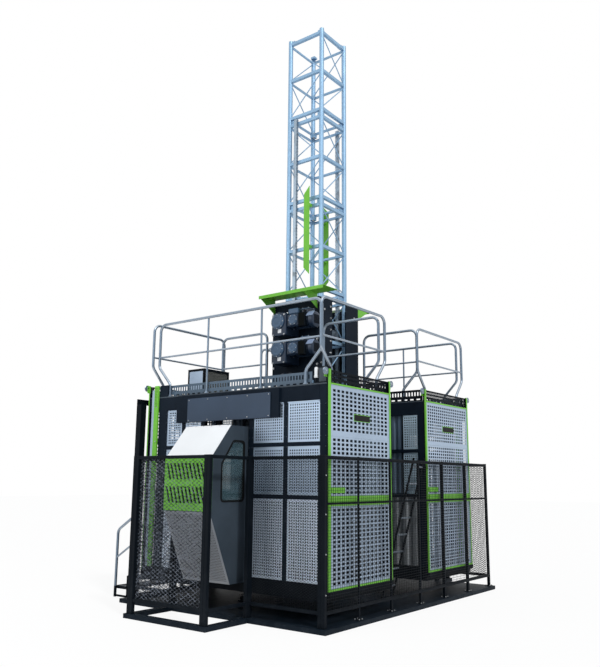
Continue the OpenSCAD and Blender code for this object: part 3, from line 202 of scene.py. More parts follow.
# machined steel with turning marks and a film of grease
def steelFinish(name, colour, rough=0.34):
    f = Finish(name)
    marks = f.noise(60.0, 4.0, 0.6, (1.0, 6.0, 1.0))
    grease = f.patches(0.5, 0.68, 8.0, 5.0)
    body = f.blend(grease * 0.5, f.blend(marks, colour, shade(colour, 0.72)), (0.07, 0.072, 0.075))
    f.bump(marks, 0.06, 0.0006)
    return f.set(Base_Color=body, Metallic=0.85 - grease * 0.5,
        Roughness=marks * 0.2 + rough - 0.1 + grease * 0.1)

# tinted pane: mostly seen through, with a clear reflection
def glassFinish(name):
    f = Finish(name)
    smear = f.patches(0.45, 0.8, 6.0, 4.0, 0.6, (1.0, 1.0, 0.4))
    tint = f.blend(smear, (0.055, 0.1, 0.12), (0.11, 0.16, 0.18))
    return f.set(Base_Color=tint, Roughness=smear * 0.08 + 0.03, Alpha=smear * 0.12 + 0.6,
        Specular_IOR_Level=0.6)

# by the record's slots
finishes = {
    "dark_paint": paintFinish("nightPaint", (0.0024, 0.0044, 0.0072), 0.5, 0.02, 0.0, 1.3, 0.05),
    "mesh_paint": paintFinish("meshPaint", (0.005, 0.007, 0.0095), 0.5, 0.03, 0.0, 1.3, 0.12),
    "slate_paint": paintFinish("slatePaint", (0.03, 0.042, 0.056), 0.42, 0.06),
    "lime_paint": paintFinish("limePaint", (0.135, 0.42, 0.036), 0.4, 0.08, 0.1, 1.15),
    "spring_paint": paintFinish("springPaint", (0.02, 0.021, 0.023), 0.4, 0.1),
    "motor_paint": paintFinish("motorPaint", (0.011, 0.022, 0.043), 0.34, 0.03, 0.2),
    "galvanised": zincFinish("mastZinc", (0.275, 0.445, 0.63)),
    "sheet_aluminium": sheetFinish("rolledSheet", (0.375, 0.475, 0.605)),
    "tooth_steel": steelFinish("rackSteel", (0.36, 0.45, 0.54)),
    "bolt_steel": steelFinish("boltSteel", (0.5, 0.52, 0.54), 0.3),
    "cab_glass": paintFinish("gasketRubber", (0.006, 0.007, 0.008), 0.6),
}
paints = ("dark", "mesh", "slate", "lime", "motor")
dark, meshPaint, slate, lime, motorPaint = (finishes[kind + "_paint"] for kind in paints)
sheet, steel = finishes["sheet_aluminium"], finishes["bolt_steel"]

# more finishes, for single pieces
framePaint = paintFinish("framePaint", (0.0042, 0.0085, 0.0155), 0.5, 0.02, 0.0, 1.3, 0.05)
# dark mesh paint with painted glints on its strands
scuffedMesh = glintFinish("scuffedMesh", (0.012, 0.016, 0.022), (0.155, 0.178, 0.22))
toeSlate = paintFinish("toeSlate", (0.066, 0.1, 0.14), 0.42, 0.05)
signSlate = paintFinish("signSlate", (0.023, 0.043, 0.077), 0.38, 0.02, 0.1, 1.12)
deckPaint = paintFinish("deckPaint", (0.0045, 0.0085, 0.014), 0.5, 0.03, 0.0, 1.3, 0.05)
ribGrey = sheetFinish("ribGrey", (0.25, 0.27, 0.29), 0.3, 0.45)
# the lowest outer sheets, painted lighter than the rest: painted light against the shade of the fence mesh
# in front
lowSheet = sheetFinish("lowSheet", (0.59, 0.69, 0.82), 0.45, 0.34)
# the inner walls' perforated sheet, painted lighter: painted light against the shade between the cages
innerSheet = sheetFinish("innerSheet", (0.52, 0.68, 0.8), 0.4, 0.4)
coverBlue = paintFinish("coverBlue", (0.046, 0.086, 0.145), 0.34, 0.02, 0.2, 1.2)
whiteEnamel = paintFinish("whiteEnamel", (0.7, 0.72, 0.74), 0.35, 0.02, 0.1, 1.06)
screenGrey = sheetFinish("screenGrey", (0.255, 0.275, 0.305), 0.35, 0.4)
# zinc for rails, rungs, sheaves and flanges: the last colour is painted shade on upright faces
railZinc = zincFinish("railZinc", (0.4, 0.46, 0.53), 0.6, 0.36, (0.42, 0.49, 0.56))
rubber = paintFinish("blackRubber", (0.004, 0.0045, 0.005), 0.6, 0.05, 0.0, 1.2, 0.15)
# light blue for the painted highlight on the motors
lidBlue = paintFinish("lidBlue", (0.2, 0.26, 0.38), 0.34, 0.02, 0.2, 1.2)
# matte black; behind the cab's slots and screen it is painted shade
louvreDark = paintFinish("louvreDark", (0.003, 0.004, 0.004), 0.8, 0.0, 0.0, 1.0, 0.05)
resistorMesh = zincFinish("resistorMesh", (0.3, 0.31, 0.29), 0.3, 0.5)
pane = glassFinish("tintedPane")
nodeFinishes = {"base_frame": deckPaint}
for side in sides:
    nodeFinishes[side + "_rails"] = railZinc
    nodeFinishes[side + "_frame"] = nodeFinishes[side + "_drive_plate"] = framePaint
for entry in frame["record"]["subparts"]:
    materials = frame["nodes"][entry["node"]].data.materials
    materials.clear()
    materials.append(nodeFinishes.get(entry["node"]) or finishes[entry["material_slot"]])
print("finishes made:", len(finishes))

# camera at the photograph's place
shot = {"place": (-9.2496, -6.7868, 1.7046), "heading": 37.38, "pitch": 10.6, "roll": 0.48, "lens": 39.46,
    "shift": (-0.0032, 0.0155)}

def setCamera():
    heading, pitch, roll = (math.radians(shot[k]) for k in ("heading", "pitch", "roll"))
    level = Vector((math.cos(heading), math.sin(heading), 0.0))
    ahead = level * math.cos(pitch) + Vector((0.0, 0.0, math.sin(pitch)))
    right = Vector((level.y, -level.x, 0.0))
    up = right.cross(ahead)
    across = right * math.cos(roll) + up * math.sin(roll)
    upright = up * math.cos(roll) - right * math.sin(roll)
    camera = bpy.data.objects.new("camera", bpy.data.cameras.new("camera"))
    scene.collection.objects.link(camera)
    turn = Matrix((across, upright, -ahead)).transposed().to_4x4()
    camera.matrix_world = Matrix.Translation(shot["place"]) @ turn
    camera.data.lens = shot["lens"]
    camera.data.shift_x, camera.data.shift_y = shot["shift"]
    camera.data.clip_end = 200.0
    scene.camera = camera

setCamera()

# daylight from the front left, a pale sky and a pale floor
light = {"sun": 2.0, "sunAngle": 6.0, "sunFrom": (-0.36, -0.78, 0.85), "sky": 0.5,
    "skyTint": (0.93, 0.965, 1.0), "fill": 420.0, "fillSize": 8.0, "fillPlace": (-12.0, 3.0, 7.0),
    "fillFrom": (-12.0, 3.0, 5.0)}
floor = {"reach": 60.0, "level": -0.002, "colour": (0.9, 0.9, 0.9), "glow": 0.9}
white = (1.0, 1.0, 1.0)

def setLight():
    sun = bpy.data.lights.new("sun", "SUN")
    sun.energy = light["sun"]
    sun.angle = math.radians(light["sunAngle"])
    fill = bpy.data.lights.new("fill", "AREA")
    fill.energy = light["fill"]
    fill.size = light["fillSize"]
    lamps = ((sun, (0, 0, 0), light["sunFrom"]), (fill, light["fillPlace"], light["fillFrom"]))
    for lamp, place, source in lamps:
        holder = bpy.data.objects.new(lamp.name, lamp)
        holder.location = place
        holder.rotation_euler = Vector(source).to_track_quat("Z", "Y").to_euler()
        scene.collection.objects.link(holder)
    world = bpy.data.worlds.new("sky")
    world.use_nodes = True
    scene.world = world
    g = Graph(world.node_tree)
    seen = g.seen()
    back = world.node_tree.nodes["Background"]
    g.tree.links.new(g.blend(seen, light["skyTint"], white).socket, back.inputs["Color"])
    g.tree.links.new((seen * (1.0 - light["sky"]) + light["sky"]).socket, back.inputs["Strength"])

def makeFloor():
    mesh = bpy.data.meshes.new("floor")
    r, z = floor["reach"], floor["level"]
    corners = [(-r, -r, z), (r, -r, z), (r, r, z), (-r, r, z)]
    mesh.from_pydata(corners, [], [(0, 1, 2, 3)])
    ground = bpy.data.objects.new("floor", mesh)
    scene.collection.objects.link(ground)
    f = Finish("paleFloor")
    f.set(Base_Color=floor["colour"], Roughness=0.8)
    glow = f.node("ShaderNodeEmission", {"Color": (*white, 1.0), "Strength": 1.0})
    paint = Link(f, f.shader, "BSDF")
    mixed = f.node("ShaderNodeMixShader", {0: f.seen() * floor["glow"], 1: paint, 2: glow})
    f.tree.links.new(mixed.socket, f.tree.nodes["Material Output"].inputs["Surface"])
    mesh.materials.append(f.material)

setLight()
makeFloor()
print("camera, light and floor set")

# geometry trees: named inputs, evaluated once and kept as plain meshes
class Growth(Graph):
    def __init__(self, name, labels, **kinds):
        tree = bpy.data.node_groups.new(name, "GeometryNodeTree")
        super().__init__(tree)
        labels = labels.split()
        for label in labels:
            kind = "NodeSocket" + kinds.get(label, "Float")
            tree.interface.new_socket(label, in_out="INPUT", socket_type=kind)
        tree.interface.new_socket("finish", in_out="INPUT", socket_type="NodeSocketMaterial")
        tree.interface.new_socket("Geometry", in_out="OUTPUT", socket_type="NodeSocketGeometry")
        self.given = tree.nodes.new("NodeGroupInput")
        self.inputs = [Link(self, self.given, label) for label in labels]

    def geo(self, kind, values=None, out=0, **settings):
        return self.node("GeometryNode" + kind, values, out, **settings)

    def join(self, *parts):
        joined = self.geo("JoinGeometry")
        for part in parts:
            self.tree.links.new(part.socket, joined.node.inputs[0])
        return joined

    def close(self, geometry):
        solid = self.geo("RealizeInstances", {"Geometry": geometry})
        painted = self.geo("SetMaterial", {"Geometry": solid, "Material": Link(self, self.given, "finish")})
        end = self.tree.nodes.new("NodeGroupOutput")
        self.tree.links.new(painted.socket, end.inputs["Geometry"])
        return self

    def grow(self, **values):
        seed = bpy.data.objects.new("seed", bpy.data.meshes.new("seed"))
        scene.collection.objects.link(seed)
        modifier = seed.modifiers.new("grow", "NODES")
        modifier.node_group = self.tree
        for item in self.tree.interface.items_tree:
            if item.in_out == "INPUT":
                modifier[item.identifier] = values[item.name]
        graph = bpy.context.evaluated_depsgraph_get()
        mesh = bpy.data.meshes.new_from_object(seed.evaluated_get(graph))
        bpy.data.objects.remove(seed)
        return mesh

# a sheet in X and Y with a plain border and a field of holes at a pitch and a rise, thick along +Z
def perforationTree():
    g = Growth("perforation", "width height pitch rise share border thick")
    width, height, pitch, rise, share, border, thick = g.inputs
    across = g.math("FLOOR", (width - border * 2.0) / pitch)
    upward = g.math("FLOOR", (height - border * 2.0) / rise)
    grid = g.geo("MeshGrid", {"Size X": (across + 2.0) * pitch, "Size Y": (upward + 2.0) * rise,
        "Vertices X": across + 3.0, "Vertices Y": upward + 3.0})
    x = g.part(g.geo("InputPosition"), "X")
    y = x.other("Y")

    def spread(at, count, full, step):
        outside = g.math("GREATER_THAN", g.math("ABSOLUTE", at), (count * 0.5 + 0.25) * step)
        return at + outside * (g.math("SIGN", at) * full * 0.5 - at)

    def inside(at, count, step):
        return g.math("LESS_THAN", g.math("ABSOLUTE", at), count * step * 0.5)

    place = g.vector(spread(x, across, width, pitch), spread(y, upward, height, rise))
    flat = g.geo("SetPosition", {"Geometry": grid, "Position": place})
    field = inside(x, across, pitch) * inside(y, upward, rise)
    values = {"Mesh": flat, "Selection": field, "Offset Scale": 0.0, "Individual": True}
    lifted = g.geo("ExtrudeMesh", values, "Mesh", mode="FACES")
    top = lifted.other("Top")
    shrunk = g.geo("ScaleElements", {"Geometry": lifted, "Selection": top, "Scale": share}, domain="FACE")
    holed = g.geo("DeleteGeometry", {"Geometry": shrunk, "Selection": top}, domain="FACE", mode="ONLY_FACE")
    values = {"Mesh": holed, "Offset Scale": thick, "Individual": False}
    both = g.join(g.geo("ExtrudeMesh", values, "Mesh", mode="FACES"), g.geo("FlipFaces", {"Mesh": holed}))
    return g.close(g.geo("MergeByDistance", {"Geometry": both, "Distance": 0.00002}))

# crossing strands of expanded mesh in X and Z, cut to a rectangle from the origin
def strandTree():
    g = Growth("strands", "width height cellWidth cellHeight strand thick")
    width, height, cell, step, strand, thick = g.inputs
    slope = step / cell
    number = g.math("FLOOR", (height + width * slope) / step) + 1.0
    start = (g.geo("InputIndex") + 0.5) * step - width * slope
    left = g.math("MAXIMUM", 0.0, (0.0 - start) / slope)
    right = g.math("MINIMUM", width, (height - start) / slope)
    span = g.math("MAXIMUM", right - left, 0.001)
    middle = (left + right) * 0.5
    place = g.vector(middle, thick * 0.5, middle * slope + start)
    points = g.geo("Points", {"Count": number, "Position": place})
    size = g.vector(span * g.math("SQRT", slope * slope + 1.0), thick, strand)
    turn = g.vector(0.0, 0.0 - g.math("ARCTANGENT", slope))
    values = {"Points": points, "Instance": g.geo("MeshCube"), "Rotation": turn, "Scale": size}
    solid = g.geo("RealizeInstances", {"Geometry": g.geo("InstanceOnPoints", values)})
    values = {"Geometry": solid, "Translation": g.vector(width), "Rotation": (0.0, 0.0, math.pi)}
    return g.close(g.join(solid, g.geo("Transform", values)))

# welded wires in X and Z, filling a rectangle from the origin
def wireTree():
    g = Growth("wires", "width height across upward wire")
    width, height, across, upward, wire = g.inputs
    rod = g.geo("MeshCylinder", {"Vertices": 6, "Radius": 0.5, "Depth": 1.0})
    index = g.geo("InputIndex")
    rows = []
    for flat, span, step, long in ((False, width, across, height), (True, height, upward, width)):
        number = g.math("FLOOR", span / step)
        at = (index - (number - 1.0) * 0.5) * step + span * 0.5
        place = g.vector(long * 0.5, 0.0 - wire * 0.9, at) if flat else g.vector(at, 0.0, long * 0.5)
        points = g.geo("Points", {"Count": number, "Position": place})
        turn = (0.0, math.pi / 2 if flat else 0.0, 0.0)
        size = g.vector(wire, wire, long)
        values = {"Points": points, "Instance": rod, "Scale": size, "Rotation": turn}
        rows.append(g.geo("InstanceOnPoints", values))
    return g.close(g.join(*rows))

# a hexagon head on its washer, rising along Z
def boltHead(g, radius):
    parts = []
    for edges, wide, deep, lift in ((16, 1.45, 0.4, 0.2), (6, 1.0, 1.4, 0.9)):
        part = g.geo("MeshCylinder", {"Vertices": edges, "Radius": radius * wide, "Depth": radius * deep})
        place = g.vector(0.0, 0.0, radius * lift)
        parts.append(g.geo("Transform", {"Geometry": part, "Translation": place}))
    return g.join(*parts)

def boltRowTree():
    g = Growth("boltRow", "count step bolt", count="Int", step="Vector")
    count, step, bolt = g.inputs
    line = g.geo("MeshLine", {"Count": count, "Offset": step})
    return g.close(g.geo("InstanceOnPoints", {"Points": line, "Instance": boltHead(g, bolt)}))

def boltRingTree():
    g = Growth("boltRing", "count ring bolt", count="Int")
    count, ring, bolt = g.inputs
    line = g.geo("MeshCircle", {"Vertices": count, "Radius": ring})
    return g.close(g.geo("InstanceOnPoints", {"Points": line, "Instance": boltHead(g, bolt)}))

# blocks set round a circle: reach outwards, thickness, length along Z
def finRingTree():
    g = Growth("finRing", "count ring reach thick long", count="Int")
    count, ring, reach, thick, long = g.inputs
    line = g.geo("MeshCircle", {"Vertices": count, "Radius": ring})
    turn = g.vector(0.0, 0.0, g.geo("InputIndex") * math.tau / count)
    size = g.vector(reach, thick, long)
    values = {"Points": line, "Instance": g.geo("MeshCube"), "Rotation": turn, "Scale": size}
    return g.close(g.geo("InstanceOnPoints", values))

perforation, strands, wires = perforationTree(), strandTree(), wireTree()
boltRow, boltRing, finRing = boltRowTree(), boltRingTree(), finRingTree()

# where a face's own X and Y point, if it looks away from the mast, towards it, to the front or up
outward, inward = ((0, -1, 0), (0, 0, 1)), ((0, 1, 0), (0, 0, 1))
frontward, skyward = ((1, 0, 0), (0, 0, 1)), ((1, 0, 0), (0, 1, 0))

def shift(x, y, z):
    return Matrix.Translation((x, y, z))

# frame of a piece: its origin, and its X and Y; its Z stands on both
def frameAt(origin, way):
    u, v = (Vector(axis).normalized() for axis in way)
    return Matrix.Translation(origin) @ Matrix((u, v, u.cross(v))).transposed().to_4x4()

def moved(mesh, matrix):
    mesh.transform(matrix)
    return mesh

def closeMesh(bm, finish):
    mesh = bpy.data.meshes.new("part")
    bm.to_mesh(mesh)
    bm.free()
    mesh.materials.append(finish)
    return mesh

def boxMesh(lo, hi, finish, bevel=0.002):
    bm = bmesh.new()
    size = [h - l for l, h in zip(lo, hi)]
    middle = [(h + l) / 2 for l, h in zip(lo, hi)]
    bmesh.ops.create_cube(bm, size=1.0, matrix=Matrix.Translation(middle) @ Matrix.Diagonal((*size, 1.0)))
    width = min(bevel, min(size) * 0.3)
    bmesh.ops.bevel(bm, geom=bm.edges[:], offset=width, segments=1, profile=0.5, affect="EDGES")
    return closeMesh(bm, finish)

# outline in the piece's X and Y, raised along Z
def plateMesh(points, depth, finish, bevel=0.0):
    bm = bmesh.new()
    face = bm.faces.new([bm.verts.new((x, y, 0.0)) for x, y in points])
    bmesh.ops.recalc_face_normals(bm, faces=[face])
    if face.normal.z > 0:
        face.normal_flip()
    top = bmesh.ops.extrude_face_region(bm, geom=[face])["geom"]
    raised = [v for v in top if isinstance(v, bmesh.types.BMVert)]
    bmesh.ops.translate(bm, vec=(0.0, 0.0, depth), verts=raised)
    bmesh.ops.recalc_face_normals(bm, faces=bm.faces[:])
    if bevel:
        sharp = [e for e in bm.edges if len(e.link_faces) == 2 and e.calc_face_angle() > 0.8]
        bmesh.ops.bevel(bm, geom=sharp, offset=bevel, segments=1, profile=0.5, affect="EDGES")
    return closeMesh(bm, finish)

# loops of points joined by bands of faces
def bandMesh(loops, bands, finish, caps=()):
    bm = bmesh.new()
    loops = [[bm.verts.new(point) for point in loop] for loop in loops]
    for a, b in bands:
        for i in range(len(loops[a])):
            j = (i + 1) % len(loops[a])
            bm.faces.new((loops[a][i], loops[a][j], loops[b][j], loops[b][i]))
    for cap in caps:
        bm.faces.new(loops[cap])
    bmesh.ops.recalc_face_normals(bm, faces=bm.faces[:])
    return closeMesh(bm, finish)

def ringMesh(outer, inner, depth, finish):
    lines = ((outer, 0.0), (outer, depth), (inner, depth), (inner, 0.0))
    loops = [[(x, y, z) for x, y in line] for line, z in lines]
    return bandMesh(loops, ((0, 1), (1, 2), (2, 3), (3, 0)), finish)

# profile of (radius, height) turned about Z
def turnedMesh(profile, finish, segments=40):
    turns = [k * math.tau / segments for k in range(segments)]
    loops = [[(radius * math.cos(t), radius * math.sin(t), z) for t in turns] for radius, z in profile]
    last = len(loops) - 1
    mesh = bandMesh(loops, [(i, i + 1) for i in range(last)], finish, (0, last))
    mesh.shade_smooth()
    mesh.set_sharp_from_angle(angle=math.radians(35.0))
    return mesh

def rodMesh(start, end, radius, finish, segments=20):
    axis = Vector(end) - Vector(start)
    rim = min(radius * 0.15, 0.002)
    profile = [(radius - rim, 0.0), (radius, rim), (radius, axis.length - rim), (radius - rim, axis.length)]
    turn = axis.to_track_quat("Z", "Y").to_matrix().to_4x4()
    return moved(turnedMesh(profile, finish, segments), Matrix.Translation(start) @ turn)

# a bent pipe through points, its corners eased
def pipeMesh(points, radius, finish, ease):
    points = [Vector(point) for point in points]
    line = points[:1]
    for a, b, c in zip(points, points[1:], points[2:]):
        first, last = b + (a - b).normalized() * ease, b + (c - b).normalized() * ease
        line += [first.lerp(b, t).lerp(b.lerp(last, t), t) for t in (0.0, 0.25, 0.5, 0.75, 1.0)]
    line.append(points[-1])
    curve = bpy.data.curves.new("pipe", "CURVE")
    curve.dimensions = "3D"
    spline = curve.splines.new("POLY")
    spline.points.add(len(line) - 1)
    for point, place in zip(spline.points, line):
        point.co = (*place, 1.0)
    curve.bevel_depth = radius
    curve.bevel_resolution = 3
    curve.use_fill_caps = True
    holder = bpy.data.objects.new("pipe", curve)
    mesh = bpy.data.meshes.new_from_object(holder)
    bpy.data.objects.remove(holder)
    mesh.materials.clear()
    mesh.materials.append(finish)
    mesh.shade_smooth()
    return mesh

# each corner of a closed outline, and the ways back to the last one and on to the next
def corners(points):
    for triple in zip(points[-1:] + points[:-1], points, points[1:] + points[:1]):
        a, b, c = (Vector(point) for point in triple)
        yield b, (a - b).normalized(), (c - b).normalized()

# a closed outline with its corners rounded
def roundOutline(points, radius, steps=6):
    line = []
    for b, u, w in corners(points):
        half = u.angle(w) / 2
        reach = radius / math.tan(half)
        centre = b + (u + w).normalized() * (radius / math.sin(half))
        first, last = b + u * reach - centre, b + w * reach - centre
        swing = first.angle_signed(last)
        line += [tuple(centre + Matrix.Rotation(-swing * k / steps, 2) @ first) for k in range(steps + 1)]
    return line

# a closed outline drawn inwards
def insetOutline(points, inset):
    area = sum(a[0] * b[1] - b[0] * a[1] for a, b in zip(points, points[1:] + points[:1]))
    way = 1.0 if area > 0 else -1.0
    line = []
    for b, u, w in corners(points):
        left, right = Vector((u.y, -u.x)) * way, Vector((-w.y, w.x)) * way
        line.append(tuple(b + (left + right) * (inset / (1.0 + left.dot(right)))))
    return line

def rectangle(x0, y0, x1, y1):
    return [(x0, y0), (x1, y0), (x1, y1), (x0, y1)]

# the meshes of a piece in the making
class Pile(list):
    def put(self, mesh, place):
        self.append(moved(mesh, place))

    def move(self, place):
        for mesh in self:
            mesh.transform(place)
        return self

    def box(self, lo, hi, finish, bevel=0.002):
        self.append(boxMesh(lo, hi, finish, bevel))

    def rod(self, start, end, radius, finish, segments=20):
        self.append(rodMesh(start, end, radius, finish, segments))

    def holed(self, middle, way, width, height, style, finish):
        values = {"rise": style["pitch"], **style}
        mesh = perforation.grow(finish=finish, width=width, height=height, **values)
        self.put(mesh, frameAt(middle, way))

    def boltRow(self, place, count, step, radius, finish=steel):
        self.put(boltRow.grow(finish=finish, count=count, step=step, bolt=radius), place)

    def bolts(self, origin, way, *row):
        self.boltRow(frameAt(origin, way), *row)

    def boltRing(self, place, count, ring, radius):
        self.put(boltRing.grow(finish=steel, count=count, ring=ring, bolt=radius), place)

def joinMeshes(name, meshes):
    bm = bmesh.new()
    finishesUsed = []
    for mesh in meshes:
        slots = []
        for used in mesh.materials:
            if used not in finishesUsed:
                finishesUsed.append(used)
            slots.append(finishesUsed.index(used))
        first = len(bm.faces)
        bm.from_mesh(mesh)
        bm.faces.ensure_lookup_table()
        for face in bm.faces[first:]:
            face.material_index = slots[min(face.material_index, len(slots) - 1)]
        bpy.data.meshes.remove(mesh)
    whole = bpy.data.meshes.new(name)
    bm.to_mesh(whole)
    bm.free()
    for used in finishesUsed:
        whole.materials.append(used)
    return whole

def addPiece(name, meshes, body, replaces=(), turn=None):
    whole = joinMeshes(name, meshes)
    if turn:
        whole.transform(turn)
    piece = bpy.data.objects.new(name, whole)
    scene.collection.objects.link(piece)
    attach(piece, body)
    if replaces:
        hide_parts(*replaces)
    return piece

# pieces that both cages have: name, maker, slot and the nodes that it stands for
def onCages(*pieces):
    for side, turn in sides.items():
        for name, make, slot, *nodes in pieces:
            addPiece(side + name, make(), side + "_cage", [side + "_" + node for node in nodes], turn)

# cage walls: perforated sheets between the posts, ribbed ones towards the mast
cage = {"inner": -0.51, "outer": -1.97, "end": 1.61, "rows": [(0.5, 1.477), (1.529, 2.128), (2.18, 2.69)],
    "outerBays": [(-1.51, -1.0), (-0.94, -0.43), (0.54, 0.859), (0.919, 1.238)],
    "innerBays": [(-1.51, -1.0225), (1.0225, 1.51)], "split": 1.25, "bar": 0.012, "barSet": 0.01,
    "ribbedBays": [(-0.9625, -0.415), (-0.355, 0.355), (0.415, 0.9625)],
    "outerSet": 0.012, "innerSet": 0.015}
wallSheet = {"pitch": 0.0355, "share": 0.58, "border": 0.022, "thick": 0.003}
ribs = {"pitch": 0.15, "depth": 0.022, "thick": 0.003, "set": 0.05,
    "shape": ((0.1, 0), (0.25, 1), (0.6, 1), (0.75, 0))}

def ribbedSheet(row, bay, finish):
    low, y0, y1 = row[0] + gap, bay[0] + gap, bay[1] - gap
    count = max(1, round((y1 - y0) / ribs["pitch"]))
    line = [(0.0, y0)]
    for i in range(count):
        line += [(lift * ribs["depth"], y0 + (i + part) * (y1 - y0) / count) for part, lift in ribs["shape"]]
    line.append((0.0, y1))
    outline = line + [(x + ribs["thick"], y) for x, y in reversed(line)]
    mesh = plateMesh(outline, row[1] - gap - low, finish)
    return moved(mesh, shift(cage["inner"] - ribs["set"], 0.0, low))

def wallMeshes():
    inner, lowest = cage["inner"], cage["rows"][0]
    back = inner - ribs["set"]
    pile = Pile()

    def flatSheet(x, row, bay, finish):
        middle = (x, sum(bay) / 2, sum(row) / 2)
        pile.holed(middle, inward, bay[1] - bay[0] - 2 * gap, row[1] - row[0] - 2 * gap, wallSheet, finish)

    for bay in cage["outerBays"]:
        for row in cage["rows"]:
            # the lowest row takes the lighter sheet, painted light against the fence mesh's shade
            flatSheet(cage["outer"] + cage["outerSet"], row, bay, lowSheet if row == lowest else sheet)
    for bay in cage["innerBays"]:
        pile.append(ribbedSheet(lowest, bay, ribGrey))
        split, half = math.copysign(cage["split"], bay[0]), cage["bar"]
        parts = [(bay[0], split), (split, bay[1])]
        end, ribbed = parts if split < 0 else parts[::-1]
        for row in cage["rows"][1:]:
            # these end bays take the lighter sheet, painted light against the shade between the cages
            flatSheet(inner - cage["innerSet"], row, end, innerSheet)
            pile.append(ribbedSheet(row, ribbed, toeSlate))
            low, high = row[0] + gap, row[1] - gap
            pile.box((back, split - half, low), (inner - cage["barSet"], split + half, high), dark)
    for bay in cage["ribbedBays"]:
        pile += [ribbedSheet(row, bay, slate) for row in cage["rows"]]
    return pile

onCages(("Walls", wallMeshes, "sheet_aluminium", "panels"))
print("cage walls made")

# lifting doors: framed perforated sheets, a green beam and a lock box
door = {"x0": -1.961, "x1": -0.519, "sill": 0.427, "top": 2.896, "plane": -1.6315, "depth": 0.032,
    "edge": 0.034, "beam": 1.405, "beamHigh": 0.12, "strip": 2.240, "plate": (-1.41, -1.04, 2.462, 2.54)}
doorSheet = {"near": {"pitch": 0.094, "rise": 0.053, "share": 0.62, "border": 0.012, "thick": 0.003},
    "far": {"pitch": 0.066, "rise": 0.046, "share": 0.6, "border": 0.012, "thick": 0.003}}

def doorMeshes(side):
    x0, x1, edge, sill = door["x0"], door["x1"], door["edge"], door["sill"]
    top, beam, strip = door["top"], door["beam"], door["strip"]
    beamTop = beam + door["beamHigh"]
    front, back = door["plane"] - door["depth"] / 2, door["plane"] + door["depth"] / 2
    left, right = x0 + edge, x1 - edge
    pile = Pile()
    for x in (x0, right):
        pile.box((x, front, sill), (x + edge, back, top), sheet)
    for low, high in ((sill, sill + edge), (strip, strip + edge), (top - edge, top), (beam, beamTop)):
        pile.box((left, front + 0.002, low), (right, back - 0.002, high), sheet)
    for low, high in ((sill + edge, beam), (beamTop, strip), (strip + edge, top - edge)):
        middle = ((x0 + x1) / 2, front + 0.007, (low + high) / 2)
        pile.holed(middle, frontward, right - left, high - low, doorSheet[side], sheet)
    trims = ((right, 0.0142, beam, beamTop), (left + 0.29, 0.0122, beam + 0.152, beam + 0.225),
        (right, 0.006, sill, sill + 0.026), (right, 0.006, top - 0.02, top))
    for end, out, low, high in trims:
        pile.box((left, front - out, low), (end, front - gap, high), lime, 0.003)
    a, b, low, high = door["plate"]
    for rim, out, finish in ((0.007, -0.002, lime), (0.0, 0.001, rubber)):
        pile.box((a - rim, front - out, low - rim), (b + rim, front + 0.0068, high + rim), finish)
    return pile

def makeDoors():
    middle = (cage["inner"] + cage["outer"]) / 2
    swap = shift(middle, 0, 0) @ sides["far"] @ shift(-middle, 0, 0)
    turns = {"near_front_door": Matrix(), "near_rear_door": swap, "far_rear_door": sides["far"],
        "far_front_door": sides["far"] @ swap}
    for node, turn in turns.items():
        side, end = node.split("_")[:2]
        addPiece(side + end.capitalize() + "Door", doorMeshes(side), node, [node], turn)

makeDoors()
print("doors made")

# fence: frames of square tube, welded wires in front, expanded metal round the sides and in the rear gates
fence = {"y": 1.705, "foot": 0.0552, "low": 0.2002, "top": 2.0, "post": 0.05, "rail": 0.04, "mid": 1.4302,
    "bar": 0.024, "plate": 0.045, "plateHigh": 0.008, "boltOut": 0.032, "meshSet": 0.0235}
weave = {"finish": meshPaint, "cellWidth": 0.054, "cellHeight": 0.031, "strand": 0.0026, "thick": 0.0022}
farWeave = {**weave, "strand": 0.0056}
# the bay mesh carries painted glints on its strands
bayWeave = {"finish": scuffedMesh, "cellWidth": 0.078, "cellHeight": 0.046, "strand": 0.0052, "thick": 0.003}
welded = {"finish": meshPaint, "across": 0.047, "upward": 0.033, "wire": 0.0042}
cabBay = {"front": -0.57, "rear": 0.76, "corner": 0.0502}
frontPosts = {-2.15: 0.05, -1.42975: 0.022, -0.6579: 0.026, 0.13005: 0.03, 0.86975: 0.04, 1.6611: 0.04,
    2.45: 0.04}
rearPosts = [(-0.374, 0.374), (2.106, 2.45)]
sideLines = {"near": (-2.15, -2.9, fence["post"], weave), "far": (-2.45, -2.9, 0.0, farWeave)}
gate = {"low": 0.0552, "high": 2.0002, "y": 1.735, "deep": 0.018, "bar": 0.045,
    "spans": {"near": (-1.9797, -0.5003), "far": (0.5003, 1.9797)}}

# runs of one side: start, angle, posts along the run, their widths, and the mesh that fills it
def sideRuns(x, out, lastPost, mesh):
    front, rear, c = cabBay["front"], cabBay["rear"], cabBay["corner"]
    y, post = fence["y"], fence["post"]
    depth = [0.0, abs(out - x) - c]
    both = [post, post]
    return [((x, c - y), 90, [0.0, y + front - c], both, mesh),
        ((x - c - depth[1], front + c), 90, [0.0, rear - front - 2 * c], both, bayWeave),
        ((x - c, rear), 180, depth, both, bayWeave),
        ((x, rear), 90, [0.0, y - rear - c], [post, lastPost], mesh),
        ((x - c, front), 180, depth, both, None)]

def runPlace(turn, start, angle):
    return turn @ shift(*start, 0.0) @ Matrix.Rotation(math.radians(angle), 4, "Z")

# clear spans between posts of given widths; a missing post leaves its room to the span
def spans(posts, widths):
    edges = [w / 2 if w else -fence["post"] / 2 for w in widths]
    return [(a + u, b - v) for a, b, u, v in zip(posts, posts[1:], edges, edges[1:])]

